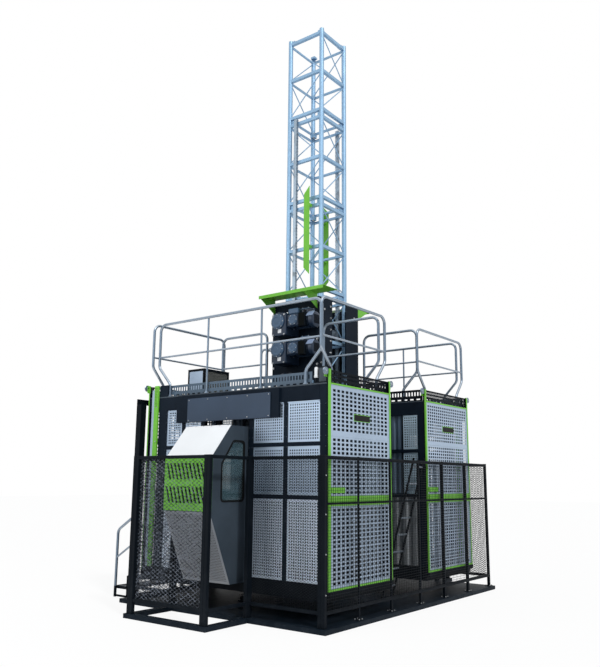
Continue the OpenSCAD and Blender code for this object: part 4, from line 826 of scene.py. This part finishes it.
def frameMeshes(posts, widths, place, mid=False):
    foot, top, rail = fence["foot"], fence["top"], fence["rail"]
    pile = Pile()
    for p, w in zip(posts, widths):
        if not w:
            continue
        half = w / 2
        back = -half if w == fence["post"] else -rail / 2
        pile.box((p - half, back, foot), (p + half, back + w, top), dark, 0.003)
        cap = half + 0.001
        pile.box((p - cap, back - 0.001, top), (p + cap, back + w + 0.001, top + 0.004), rubber, 0.001)
        if w == fence["post"]:
            pile.bolts((p, back, 0.42), frontward, 4, (0, 0.45, 0), 0.006)
        elif mid:
            r, high, out = fence["plate"], foot + fence["plateHigh"], fence["boltOut"]
            pile.box((p - r, -r, foot), (p + r, r, high), dark)
            for y in (-out, out):
                pile.bolts((p - out, y, high), skyward, 2, (2 * out, 0, 0), 0.007)
    bars = [(fence["low"], rail), (top - rail, rail)] + ([(fence["mid"], fence["bar"])] if mid else [])
    for a, b in spans(posts, widths):
        for z, high in bars:
            pile.box((a, -rail / 2, z), (b, high - rail / 2, z + high), dark)
    return pile.move(place)

def panelMeshes(posts, widths, place, tree, pattern):
    low = fence["low"] + fence["rail"] / 2
    high = fence["top"] - fence["rail"] / 2 - low
    pile = Pile()
    for a, b in spans(posts, widths):
        mesh = tree.grow(width=b - a, height=high, **pattern)
        pile.put(mesh, place @ shift(a, -fence["meshSet"], low))
    return pile

def makeFence():
    posts, widths = list(frontPosts), list(frontPosts.values())
    place = shift(0.0, -fence["y"], 0.0)
    addPiece("fenceFront", frameMeshes(posts, widths, place, True), "base", ["fence_front"])
    panels = panelMeshes(posts, widths, place, wires, welded)
    addPiece("fenceWires", panels, "base", ["fence_mesh"])
    frames, meshes = [], []
    for side, turn in sides.items():
        for start, angle, posts, widths, pattern in sideRuns(*sideLines[side]):
            place = runPlace(turn, start, angle)
            frames += frameMeshes(posts, widths, place)
            if pattern:
                meshes += panelMeshes(posts, widths, place, strands, pattern)
    place = shift(0.0, fence["y"], 0.0)
    for posts in rearPosts:
        meshes += panelMeshes(posts, [fence["post"]] * 2, place, strands, weave)
    addPiece("fenceSides", frames, "base", ["fence_sides"])
    addPiece("fenceStrands", meshes, "base", ["fence_mesh"])

def makeGates():
    low, high, bar = gate["low"], gate["high"], gate["bar"]
    front, back = gate["y"] - gate["deep"], gate["y"] + gate["deep"]
    middle = (low + high) / 2 - 0.022
    for side, (x0, x1) in gate["spans"].items():
        pile = Pile()
        for x in (x0, x1 - bar):
            pile.box((x, front, low), (x + bar, back, high), dark)
        for z in (low, middle, high - bar):
            pile.box((x0 + bar, front, z), (x1 - bar, back, z + bar), dark)
        for z0, z1 in ((low + bar, middle), (middle + bar, high - bar)):
            mesh = strands.grow(width=x1 - x0 - 2 * bar, height=z1 - z0, **weave)
            pile.put(mesh, shift(x0 + bar, gate["y"], z0))
        addPiece(side + "GateLeaf", pile, side + "_gate", [side + "_gate"])

makeFence()
makeGates()
print("fence and gates made")

# operator cab: white slope, louvred front, perforated screen, side windows
cab = {"front": -0.345, "rear": 0.47, "face": -2.65, "waist": 1.32, "sill": 1.975, "brow": (-2.2998, 2.4),
    "toe": (-2.26036, 0.43), "panel": 0.012, "cheek": 0.0025, "slots": 11, "slotHigh": 0.205,
    "slotWide": 0.042, "lean": 0.032, "rows": (0.3, 0.75)}
screen = {"pitch": 0.022, "share": 0.55, "border": 0.03, "thick": 0.003}
window = {"points": [(-2.03, 1.43016), (-2.4698, 1.43016), (-2.4698, 1.91414), (-2.2556, 2.21402),
    (-2.03, 2.21402)], "round": 0.055, "innerRound": 0.039, "gasket": 0.024, "wall": 0.03, "stand": 0.004}

# lime bands above and below two rows of leaning slots, and the bars between the slots
def louvreMeshes(wide, high):
    tall, lean, half = cab["slotHigh"], cab["lean"], cab["slotWide"] / 2
    rows = [(high * row - tall / 2, high * row + tall / 2) for row in cab["rows"]]
    edges = [0.0, *rows[0], *rows[1], high]
    outlines = [rectangle(0, a, wide, b) for a, b in zip(edges[::2], edges[1::2])]
    middles = [wide * (i + 1) / (cab["slots"] + 1) for i in range(cab["slots"])]
    lefts = [(0.0, 0.0)] + [(m + half + lean, m + half - lean) for m in middles]
    rights = [(m - half + lean, m - half - lean) for m in middles] + [(wide, wide)]
    for low, top in rows:
        outlines += [[(a[0], low), (b[0], low), (b[1], top), (a[1], top)] for a, b in zip(lefts, rights)]
    return [plateMesh(outline, cab["panel"], lime) for outline in outlines]

def cabPanels():
    wide, high, rear = cab["rear"] - cab["front"], cab["sill"] - cab["waist"], cab["rear"]
    corner, brow, toe = Vector((cab["face"], cab["sill"])), Vector(cab["brow"]), Vector(cab["toe"])
    rise, fall = brow - corner, Vector((cab["face"], cab["waist"])) - toe
    slope = frameAt((corner.x, rear, corner.y), ((0, -1, 0), (rise.x, 0, rise.y)))
    upright = frameAt((cab["face"], rear, cab["waist"]), outward)
    down = ((0, -1, 0), (fall.x, 0, fall.y))
    under = frameAt((toe.x, rear, toe.y), down)
    long, drop = rise.length, fall.length
    pile = Pile()
    face = plateMesh(roundOutline(rectangle(0, 0.008, wide, long), 0.012), cab["panel"], whiteEnamel, 0.003)
    bead = [rectangle(e, e + 0.01, wide - e, long - e) for e in (0.02, 0.028)]
    for mesh in (face, ringMesh(*bead, 0.0135, whiteEnamel)):
        pile.put(mesh, slope @ shift(0, 0, gap))
    for v in (0.019, long - 0.011):
        pile.boltRow(slope @ shift(0.04, v, cab["panel"] + gap), 6, ((wide - 0.08) / 5, 0, 0), 0.004)
    for mesh in louvreMeshes(wide, high):
        pile.put(mesh, upright @ shift(0, 0, gap))
    # painted shade: a matte black plate behind the slots stands for the shade inside the cab
    pile.put(boxMesh((0.03, 0.03, -0.045), (wide - 0.03, high - 0.03, -0.04), louvreDark), upright)
    for u in (-cab["cheek"], wide):
        cheek = boxMesh((u, 0.0, -0.028), (u + cab["cheek"], high, cab["panel"] + gap), lime, 0.0006)
        pile.put(cheek, upright)
    middle = under @ Vector((wide / 2, drop / 2 - 0.004, gap))
    pile.holed(middle, down, wide, drop - 0.008, screen, screenGrey)
    # painted shade: a matte black plate behind the screen stands for the shade inside the cab
    pile.put(boxMesh((0.04, 0.03, -0.03), (wide - 0.04, drop - 0.04, -0.026), louvreDark), under)
    return pile

def cabWindows():
    wall, stand, points = window["wall"], window["stand"], window["points"]
    outer = roundOutline(insetOutline(points, 0.0003), window["round"])
    inner = roundOutline(insetOutline(points, window["gasket"]), window["innerRound"])
    pile = Pile()
    for y in (cab["front"], cab["rear"] - wall):
        place = frameAt((0, y + wall + stand, 0), frontward)
        pile.put(ringMesh(outer, inner, wall + 2 * stand, rubber), place)
        pile.put(plateMesh(inner, 0.006, pane), place @ shift(0, 0, 0.015))
    return pile

onCages(("CabPanels", cabPanels, "sheet_aluminium", "cab_panels"),
    ("CabWindows", cabWindows, "cab_glass", "cab_glazing"))
print("operator cabs made")

# door guides: green channels, steel sheaves on brackets, the counterweight column
guide = {"wide": 0.034, "deep": 0.0426, "green": 0.02, "wall": 0.005, "low": 0.4272, "top": 3.065,
    "sheave": 0.046, "column": (1.414, 1.553), "foot": 0.5002, "out": 0.03}
guideHoles = {"pitch": 0.026, "rise": 0.022, "share": 0.55, "border": 0.004, "thick": 0.0015}

def guideMeshes():
    w, d, t, r, top = guide["wide"], guide["deep"] / 2, guide["wall"], guide["sheave"], guide["top"]
    edge, axle = guide["green"] - d, top - 0.03
    halves = [(lime, [(0, -d), (w, -d), (w, -d + t), (t, -d + t), (t, edge), (0, edge)]),
        (dark, [(0, edge), (t, edge), (t, d - t), (w, d - t), (w, d), (0, d)])]
    half = [(0.008, 0.012), (0.016, 0.012), (0.018, 0.009), (r - 0.006, 0.009), (r, 0.01), (r, 0.0075),
        (r - 0.008, 0.002)]
    wheel = [(radius, -z) for radius, z in half] + half[::-1]
    pile = Pile()
    for x, way in ((cage["outer"], 1), (cage["inner"], -1)):
        for finish, outline in halves:
            channel = plateMesh([(x + way * u, v) for u, v in outline], top - guide["low"], finish, 0.0008)
            pile.put(channel, shift(0, 0, guide["low"]))
        hub = x - way * (r + 0.006)
        ends = sorted((x - way * gap, x - way * r * 1.4))
        pile.box((ends[0], 0.012, top - 0.1), (ends[1], 0.018, top + 0.01), lime)
        turn = frameAt((hub, 0.0, axle), frontward)
        pile.put(turnedMesh(wheel, railZinc, 48), turn)
        pile.rod((hub, 0.018, axle), (hub, -0.016, axle), 0.01, steel)
        pile.boltRing(turn @ shift(0, 0, 0.009), 3, 0.026, 0.003)
    return pile

def allGuides():
    middle = (cage["inner"] + cage["outer"]) / 2
    (y0, y1), foot, top = guide["column"], guide["foot"], guide["top"]
    x = cage["outer"]
    out, half = x - guide["out"], (y0 + y1) / 2 + 0.014
    pile = Pile()
    for turn in sides.values():
        pile += guideMeshes().move(shift(middle, 0, 0) @ turn @ shift(-middle, door["plane"], 0))
    pile.box((out, y0, foot), (x - gap, half, top), lime, 0.004)
    pile.box((out + 0.01, half, foot), (x - gap, y1, top - 0.06), sheet)
    # painted shade: a black sheet behind the perforated top stands for the shade inside the column
    pile.box((out - 0.0005, y0 + 0.012, top - 0.32), (out + 0.002, half - 0.012, top - 0.02), rubber, 0.0004)
    centre = (out - 0.0006, (y0 + half) / 2, top - 0.17)
    pile.holed(centre, outward, half - y0 - 0.02, 0.304, guideHoles, lime)
    pile.bolts((out, y0 + 0.02, 0.75), outward, 5, (0, 0.5, 0), 0.007)
    return pile

onCages(("DoorGuides", allGuides, "lime_paint", "door_guides"))
print("door guides made")

# roof: sheet, hatch, slotted toe boards, the box and the lamp at its corner
roof = {"low": 2.88, "top": 2.9, "toe": 0.165, "notched": 0.04, "board": -1.89, "clear": 0.488,
    "short": 0.284, "hatch": 0.6424, "hatchFront": -0.82, "hatchHigh": 0.026}
cornerBox = {"lo": (-1.92, -1.585, 2.9002), "hi": (-1.83, -1.445, 3.115), "lamp": (-1.9, -1.4),
    "stem": 0.075, "lampHigh": 0.14}
notches = {"pitch": 0.108, "rise": 0.034, "share": 0.55, "border": 0.002, "thick": 0.004}
slits = {"pitch": 0.048, "rise": 0.112, "share": 0.5, "border": 0.006, "thick": 0.004}
dots = {**slits, "pitch": 0.034, "rise": 0.05}
deck = roof["top"] + gap

def toeBoard(pile, start, along, length, style, finish):
    tall, low = roof["toe"] - gap, roof["notched"]
    for z0, z1, holes in ((0.0, low, notches), (low, tall, style)):
        middle = Vector((*start, deck + (z0 + z1) / 2)) + Vector(along) * length / 2
        pile.holed(middle, (along, (0, 0, 1)), length, z1 - z0, holes, finish)

def cornerMeshes(pile):
    lo, hi, (x, y) = cornerBox["lo"], cornerBox["hi"], cornerBox["lamp"]
    high, foot = cornerBox["lampHigh"], deck + cornerBox["stem"]
    pile.box(lo, hi, dark, 0.006)
    lid = ((lo[0] - 0.004, lo[1] + 0.015, lo[2] + 0.02), (lo[0], hi[1] - 0.015, hi[2] - 0.02))
    pile.box(*lid, slate, 0.001)
    pile.rod((x, y, deck), (x, y, foot), 0.012, dark)
    profile = [(0.026, 0.0), (0.028, 0.003), (0.028, 0.03), (0.024, 0.034), (0.024, high - 0.02),
        (0.019, high - 0.006), (0.008, high)]
    pile.put(turnedMesh(profile, whiteEnamel, 24), shift(x, y, foot))

def roofMeshes():
    x0, x1, end, clear = cage["outer"], cage["inner"], cage["end"], roof["clear"]
    pile = Pile()
    pile.box((x0, -end, roof["low"]), (x1, end, roof["top"]), slate, 0.003)
    toeBoard(pile, (roof["board"], end - 0.0042), (0, -1, 0), 2 * end - roof["short"], slits, toeSlate)
    cornerMeshes(pile)
    toeBoard(pile, (x0 + 0.034, -end + 0.004), (1, 0, 0), x1 - x0 - 0.068, dots, dark)
    toeBoard(pile, (x1 - 0.034, end - 0.004), (-1, 0, 0), x1 - x0 - 0.068, dots, dark)
    for y in (-end + 0.0042, clear):
        toeBoard(pile, (x1 - 0.004, y), (0, 1, 0), end - 0.0042 - clear, slits, dark)
    middle, w, y, lid = (x0 + x1) / 2, roof["hatch"], roof["hatchFront"], deck + roof["hatchHigh"]
    pile.box((middle - w / 2, y, deck), (middle + w / 2, y + w, lid), toeSlate, 0.006)
    for hinge in (middle - w * 0.34, middle + w * 0.34):
        pile.box((hinge - 0.035, y - 0.04, deck), (hinge + 0.035, y - 0.004, deck + 0.034), dark)
    bends = ((-0.07, lid), (-0.07, deck + 0.07), (0.07, deck + 0.07), (0.07, lid))
    handle = [(middle + u, y + w - 0.08, z) for u, z in bends]
    pile.append(pipeMesh(handle, 0.006, steel, 0.015))
    return pile

onCages(("Roof", roofMeshes, "slate_paint", "roof"))
print("roofs made")

# drive units: reducers with bolted covers, finned motors with their boxes
unit = {"levels": (3.63593, 4.06319), "axis": -0.7102, "plate": -0.5402, "depth": 0.34, "front": -0.08,
    "back": 0.19, "shaft": 0.07, "high": 0.365, "cover": 0.11863, "motor": 0.12, "long": 0.45, "box": 0.075}
housing = {"face": -0.862, "end": -0.292, "middle": -0.205, "half": 0.1, "cover": 0.08,
    "box": (-0.415, -0.297), "tops": (0.05, 0.085), "lid": (-0.535, -0.422), "highlightHigh": 0.1,
    "highlightThick": 0.012, "highlightLean": -50.0}
grille = {"pitch": 0.016, "share": 0.6, "border": 0.004, "thick": 0.0015}

def reducerMeshes(pile, z):
    h, x = unit["high"], unit["plate"] - unit["depth"]
    front, back, shaft = unit["front"], unit["back"], unit["shaft"]
    body = [(front, -h * 0.59), (back, -h * 0.59), (back, h * 0.33), (shaft, h * 0.41), (front, h * 0.33)]
    block = plateMesh(roundOutline(body, 0.022), unit["depth"], motorPaint, 0.006)
    pile.put(block, frameAt((x, 0, z), inward))
    out = frameAt((x, shaft, z), outward)
    r = unit["cover"]
    cover = [(r - 0.003, 0.0), (r, 0.003), (r, 0.02), (r - 0.004, 0.024), (r - 0.02, 0.024),
        (r - 0.022, 0.034), (r - 0.024, 0.036), (r - 0.05, 0.036), (r - 0.054, 0.032), (0.03, 0.032),
        (0.028, 0.035), (0.01, 0.035)]
    pile.put(turnedMesh(cover, coverBlue, 56), out @ shift(0, 0, -0.0005))
    pile.boltRing(out @ shift(0, 0, 0.0235), 8, r - 0.0105, 0.0055)
    pile.put(plateMesh(roundOutline(rectangle(0.0, -0.175, 0.064, -0.117), 0.005), 0.002, whiteEnamel), out)
    for y in (front + 0.03, back - 0.03):
        pile.bolts((x, y, z - h * 0.55), outward, 2, (0, h * 0.83, 0), 0.009)
    eye = z + h * 0.34
    pile.rod((unit["axis"], 0.02, eye), (unit["axis"], 0.02, eye + 0.05), 0.014, steel)

# housing between reducer and motor, its bolted cover, the box beside the motor, and a light blue plate on
# the motor's upper side that is a painted highlight
def housingMeshes(pile, z):
    x, tall, axis = housing["face"], housing["half"], unit["axis"]
    y0, y1 = housing["end"], unit["front"] - 2 * gap
    top = z + tall + housing["tops"][unit["levels"].index(z)]
    pile.box((x, y0, z - tall), (axis + tall, y1, z + tall), motorPaint, 0.02)
    pile.box((x + 0.02, y0 + 0.02, z + tall), (axis + 0.06, y1 - 0.01, top), coverBlue, 0.012)
    out = frameAt((x, housing["middle"], z), outward)
    r = housing["cover"]
    cover = [(r - 0.002, 0.0), (r, 0.003), (r, 0.014), (r - 0.003, 0.017), (r - 0.016, 0.017),
        (r - 0.018, 0.026), (r - 0.034, 0.026), (r - 0.037, 0.022), (0.012, 0.022), (0.01, 0.026),
        (0.004, 0.026)]
    pile.put(turnedMesh(cover, coverBlue, 44), out @ shift(0, 0, -0.0005))
    pile.boltRing(out @ shift(0, 0, 0.0165), 6, r - 0.009, 0.0045)
    a, b = housing["box"]
    pile.box((x + 0.004, a, z - 0.11), (axis - 0.09, b, z + 0.1), dark, 0.006)
    pile.box((x - 0.001, a + 0.008, z - 0.1), (x + 0.005, b - 0.008, z + 0.09), louvreDark)
    # painted highlight: a light blue plate lying on the upper side of the motor, facing out
    (a, b), half = housing["lid"], housing["highlightHigh"] / 2
    lean = shift(axis, a, z) @ Matrix.Rotation(math.radians(housing["highlightLean"]), 4, "Y")
    lid = boxMesh((-half, 0.0, 0.0), (half, b - a, housing["highlightThick"]), lidBlue, 0.003)
    pile.put(lid, lean @ shift(0, 0, unit["motor"] - 0.006))

def motorMeshes(pile, z):
    r, long, x, w = unit["motor"], unit["long"], unit["axis"], unit["box"]
    bell, cowl = long * 0.2, long * 0.84
    start = frameAt((x, unit["front"] - gap, z), frontward)
    profile = [(r - 0.002, 0.0), (r, 0.002), (r, 0.022), (r - 0.002, 0.024), (r * 0.86, 0.024),
        (r * 0.84, 0.028), (r * 0.8, bell - 0.012), (r * 0.88, bell), (r * 0.84, bell + 0.012),
        (r * 0.84, cowl - 0.006), (r * 0.96, cowl - 0.004), (r, cowl), (r, long - 0.016),
        (r * 0.96, long - 0.008), (r * 0.82, long - 0.001), (r * 0.5, long), (0.02, long - 0.004)]
    pile.put(turnedMesh(profile, motorPaint, 48), start)
    fins = finRing.grow(finish=motorPaint, count=40, ring=r * 0.9, reach=r * 0.17, thick=0.0045,
        long=cowl - bell - 0.03)
    pile.put(fins, start @ shift(0, 0, (bell + cowl) / 2))
    pile.boltRing(start @ shift(0, 0, 0.024), 8, r - 0.012, 0.006)
    pile.holed(start @ Vector((0, 0, long + 0.001)), frontward, r * 1.1, r * 1.1, grille, dark)
    housingMeshes(pile, z)
    y0, y1, top = unit["front"] - long * 0.8, unit["front"] - long * 0.5, z + r + 0.04
    pile.box((x - w, y0, z + r - 0.02), (x + w, y1, top), motorPaint, 0.006)
    pile.box((x - w - 0.005, y0 - 0.005, top), (x + w + 0.005, y1 + 0.005, top + 0.015), coverBlue, 0.005)
    for y in (y0 + 0.012, y1 - 0.012):
        pile.bolts((x - w + 0.01, y, top + 0.015), skyward, 2, (2 * w - 0.02, 0, 0), 0.005)
    y, gland = (y0 + y1) / 2, z + r + 0.01
    pile.rod((x - w, y, gland), (x - w - 0.03, y, gland), 0.014, rubber, 12)

def atLevels(make):
    pile = Pile()
    for z in unit["levels"]:
        make(pile, z)
    return pile

def reducers():
    return atLevels(reducerMeshes)

def motors():
    return atLevels(motorMeshes)

onCages(("Reducers", reducers, "motor_paint", "reducers"), ("Motors", motors, "motor_paint", "motors"))
print("drives made")

# brake resistor: dark frame, pale door, expanded mesh on its long faces
resistor = {"lo": (-1.6, 0.88, 2.96), "hi": (-1.06, 1.22, 3.33), "bar": 0.03, "lid": 0.004,
    "flips": {"near": Matrix(), "far": Matrix.Diagonal((-1, 1, 1, 1))}}
resistorWeave = {"finish": dark, "cellWidth": 0.04, "cellHeight": 0.024, "strand": 0.003, "thick": 0.002}

def resistorMeshes():
    (x0, y0, z0), (x1, y1, z1) = resistor["lo"], resistor["hi"]
    b, lid = resistor["bar"], resistor["lid"]
    pile = Pile()
    for x in (x0, x1 - b):
        for y in (y0, y1 - b):
            pile.box((x, y, z0), (x + b, y + b, z1), dark)
    for z in (z0, z1 - b):
        for y in (y0, y1 - b):
            pile.box((x0 + b, y, z), (x1 - b, y + b, z + b), dark)
        for x in (x0, x1 - b):
            pile.box((x, y0 + b, z), (x + b, y1 - b, z + b), dark)
    pile.box((x0 - lid, y0 - lid, z1), (x1 + lid, y1 + lid, z1 + lid), slate)
    pile.box((x0 + 0.012, y0 + 0.012, z0 + 0.004), (x1 - 0.012, y1 - 0.012, z1 - 0.004), resistorMesh)
    pile.box((x0 + 0.004, y0 + b, z0 + b), (x0 + 0.011, y1 - b, z1 - b), sheet)
    for y in (y0 + 0.004, y1 - 0.006):
        mesh = strands.grow(width=x1 - x0 - 2 * b, height=z1 - z0 - 2 * b, **resistorWeave)
        pile.put(mesh, shift(x0 + b, y, z0 + b))
    for x in (x0 + 0.02, x1 - 0.06):
        pile.box((x, y0 + 0.02, deck), (x + 0.04, y1 - 0.02, z0 + 0.001), dark)
    return pile

for side, flip in resistor["flips"].items():
    nodes = [side + "_resistor"]
    piece = addPiece(side + "Resistor", resistorMeshes(), side + "_cage", nodes, flip)
    if side == "far":
        piece.data.flip_normals()
print("resistors made")

# bare sign plate on each fascia
sign = {"x": -2.0152, "y": (-0.752, 0.77), "z": (2.5, 2.83), "thick": 0.002, "round": 0.012}

def signMeshes():
    (y0, y1), (z0, z1), thick = sign["y"], sign["z"], sign["thick"]
    wide, high = y1 - y0, z1 - z0
    place = frameAt((sign["x"], y1, z0), outward)
    pile = Pile()
    face = plateMesh(roundOutline(rectangle(0, 0, wide, high), sign["round"]), thick, signSlate, 0.0008)
    pile.put(face, place @ shift(0, 0, gap))
    for v in (0.025, high - 0.025):
        pile.boltRow(place @ shift(0.03, v, thick), 5, ((wide - 0.06) / 4, 0, 0), 0.005)
    return pile

onCages(("Sign", signMeshes, "slate_paint"))
print("signs made")

# ladder: dark stiles on rubber feet, bright rungs
ladder = {"x": 0.23, "foot": -1.098, "lean": math.atan(0.56 / 1.98), "wide": 0.29, "long": 2.1177,
    "rungs": 8, "first": 0.24, "rise": 0.25, "rung": 0.014}

def makeLadder():
    half = ladder["wide"] / 2
    pile = Pile()
    for x in (-half, half):
        pile.box((x - 0.011, -0.013, 0.1), (x + 0.011, 0.013, ladder["long"]), dark, 0.003)
        pile.box((x - 0.015, -0.018, 0.065), (x + 0.015, 0.018, 0.12), rubber, 0.006)
    for i in range(ladder["rungs"]):
        z = ladder["first"] + i * ladder["rise"]
        pile.rod((-half, 0, z), (half, 0, z), ladder["rung"], railZinc)
    pile.move(shift(ladder["x"], ladder["foot"], 0) @ Matrix.Rotation(ladder["lean"], 4, "X"))
    addPiece("ladderFrame", pile, "base", ["ladder"])

# stairs at the gates: dark stringers, open treads, bright handrails in dark sockets
stair = {"x": 1.24, "y": 1.7802, "wide": 1.3, "deep": 0.26, "rise": 0.155, "top": 1.23, "mid": 0.56,
    "drop": 0.2742, "bar": 0.008, "leg": 0.03, "edge": 0.04, "out": 0.0284, "rail": 0.02, "knee": 0.014,
    "socket": 0.021}
tread = {"pitch": 0.05, "rise": 0.04, "share": 0.7, "border": 0.006, "thick": 0.006}

def stairMeshes():
    half, deep, rise = stair["wide"] / 2, stair["deep"], stair["rise"]
    bar, leg, edge, knee = stair["bar"], stair["leg"], stair["edge"], stair["knee"]
    top, mid, drop = stair["top"], stair["mid"], stair["drop"]
    pile = Pile()
    for y, z in ((deep, rise), (0.0, 2 * rise)):
        for y0, y1 in ((y + 0.001, y + 0.02), (y + deep - 0.03, y + deep - 0.001)):
            pile.box((-half, y0, z - edge), (half, y1, z), dark)
        pile.holed((0, y + deep / 2 - 0.005, z - 0.012), skyward, 2 * half, deep - 0.05, tread, slate)
    bars = [(0, 0, 2 * deep, leg), (0, rise - edge, 2 * deep, rise), (0, 2 * rise - edge, deep, 2 * rise)]
    legs = ((0, 2 * rise), (deep - leg, 2 * rise), (2 * deep - leg, rise))
    bars += [(y, 0, y + leg, high) for y, high in legs]
    low, high = 2 * deep - 0.04, 0.03
    for way in (-1, 1):
        inner = half + gap if way > 0 else -half - bar - gap
        for y0, z0, y1, z1 in bars:
            pile.box((inner, y0, z0), (inner + bar, y1, z1), dark)
        x = way * (half + stair["out"])
        rail = [(x, low, 0), (x, low, top - drop), (x, high, top)]
        pile.append(pipeMesh(rail, stair["rail"], railZinc, 0.06))
        pile.rod((x, low, mid), (x, high, mid + drop), knee, railZinc)
        pile.rod((x, high, 0), (x, high, top - 0.008), knee, railZinc)
        pile.rod((x, low, 0), (x, low, rise), stair["socket"], dark)
    return pile

def makeStairs():
    meshes = []
    for x in (-stair["x"], stair["x"]):
        meshes += stairMeshes().move(shift(x, stair["y"], 0))
    addPiece("gateStairs", meshes, "base", ["stairs"])

makeLadder()
makeStairs()
print("ladder and stairs made")

# flanges under the guard rails, rivets on the posts, lips and a plate on the roof beam, drive plate bolts
railFeet = [(-1.922, y) for y in (-1.25, -0.5, 0.5, 1.25)]
railFeet += [(-0.558, y) for y in (-1.25, -0.548, 0.548, 1.25)]
railFeet += [(x, y) for x in (-1.775, -0.705) for y in (-1.55, 1.55)]
flange = [(0.041, 0.0), (0.042, 0.001), (0.042, 0.007), (0.041, 0.008), (0.026, 0.008), (0.024, 0.03),
    (0.021, 0.032)]
rivets = {"edges": (-1.6, -1.52, -0.99, -0.95, -0.42, -0.37, 0.48, 0.53, 0.869, 0.909, 1.248, 1.398),
    "low": 0.56, "step": 0.13, "count": 17, "size": 0.0045}
lip = {"out": 0.004, "back": 0.012, "side": 0.006, "z": (2.676, 2.689)}
beamPlate = {"thick": 0.003, "y": (-1.5, -1.01), "z": (2.705, 2.872)}
driveBolts = {"plate": (-0.42, 0.42), "plateLow": 3.42, "cheeks": (-0.48, -0.24), "cheekLow": 3.45,
    "cheekFace": -0.4482}

def fittingMeshes():
    x = cage["outer"]
    pile = Pile()
    for foot in railFeet:
        place = shift(*foot, deck)
        pile.put(turnedMesh(flange, railZinc, 28), place)
        pile.boltRing(place @ shift(0, 0, 0.008), 4, 0.033, 0.004)
    for y in rivets["edges"]:
        step = (0, rivets["step"], 0)
        pile.bolts((x, y, rivets["low"]), outward, rivets["count"], step, rivets["size"], slate)
    low, high = lip["z"]
    for y0, y1 in cage["outerBays"][:2]:
        y0, y1 = y0 + lip["side"], y1 - lip["side"]
        pile.box((x - lip["out"], y0, low), (x + lip["back"], y1, high), sheet)
    (y0, y1), (low, high) = beamPlate["y"], beamPlate["z"]
    pile.box((x - beamPlate["thick"], y0, low), (x - gap, y1, high), framePaint)
    return pile

def driveMeshes():
    pile = Pile()
    for y in driveBolts["plate"]:
        pile.bolts((unit["plate"], y, driveBolts["plateLow"]), outward, 6, (0, 0.19, 0), 0.012)
    for x in driveBolts["cheeks"]:
        low = (x, driveBolts["cheekFace"], driveBolts["cheekLow"])
        pile.bolts(low, frontward, 6, (0, 0.18, 0), 0.01)
    return pile

onCages(("Fittings", fittingMeshes, "bolt_steel"), ("DriveFittings", driveMeshes, "motor_paint"))
print("fittings made")
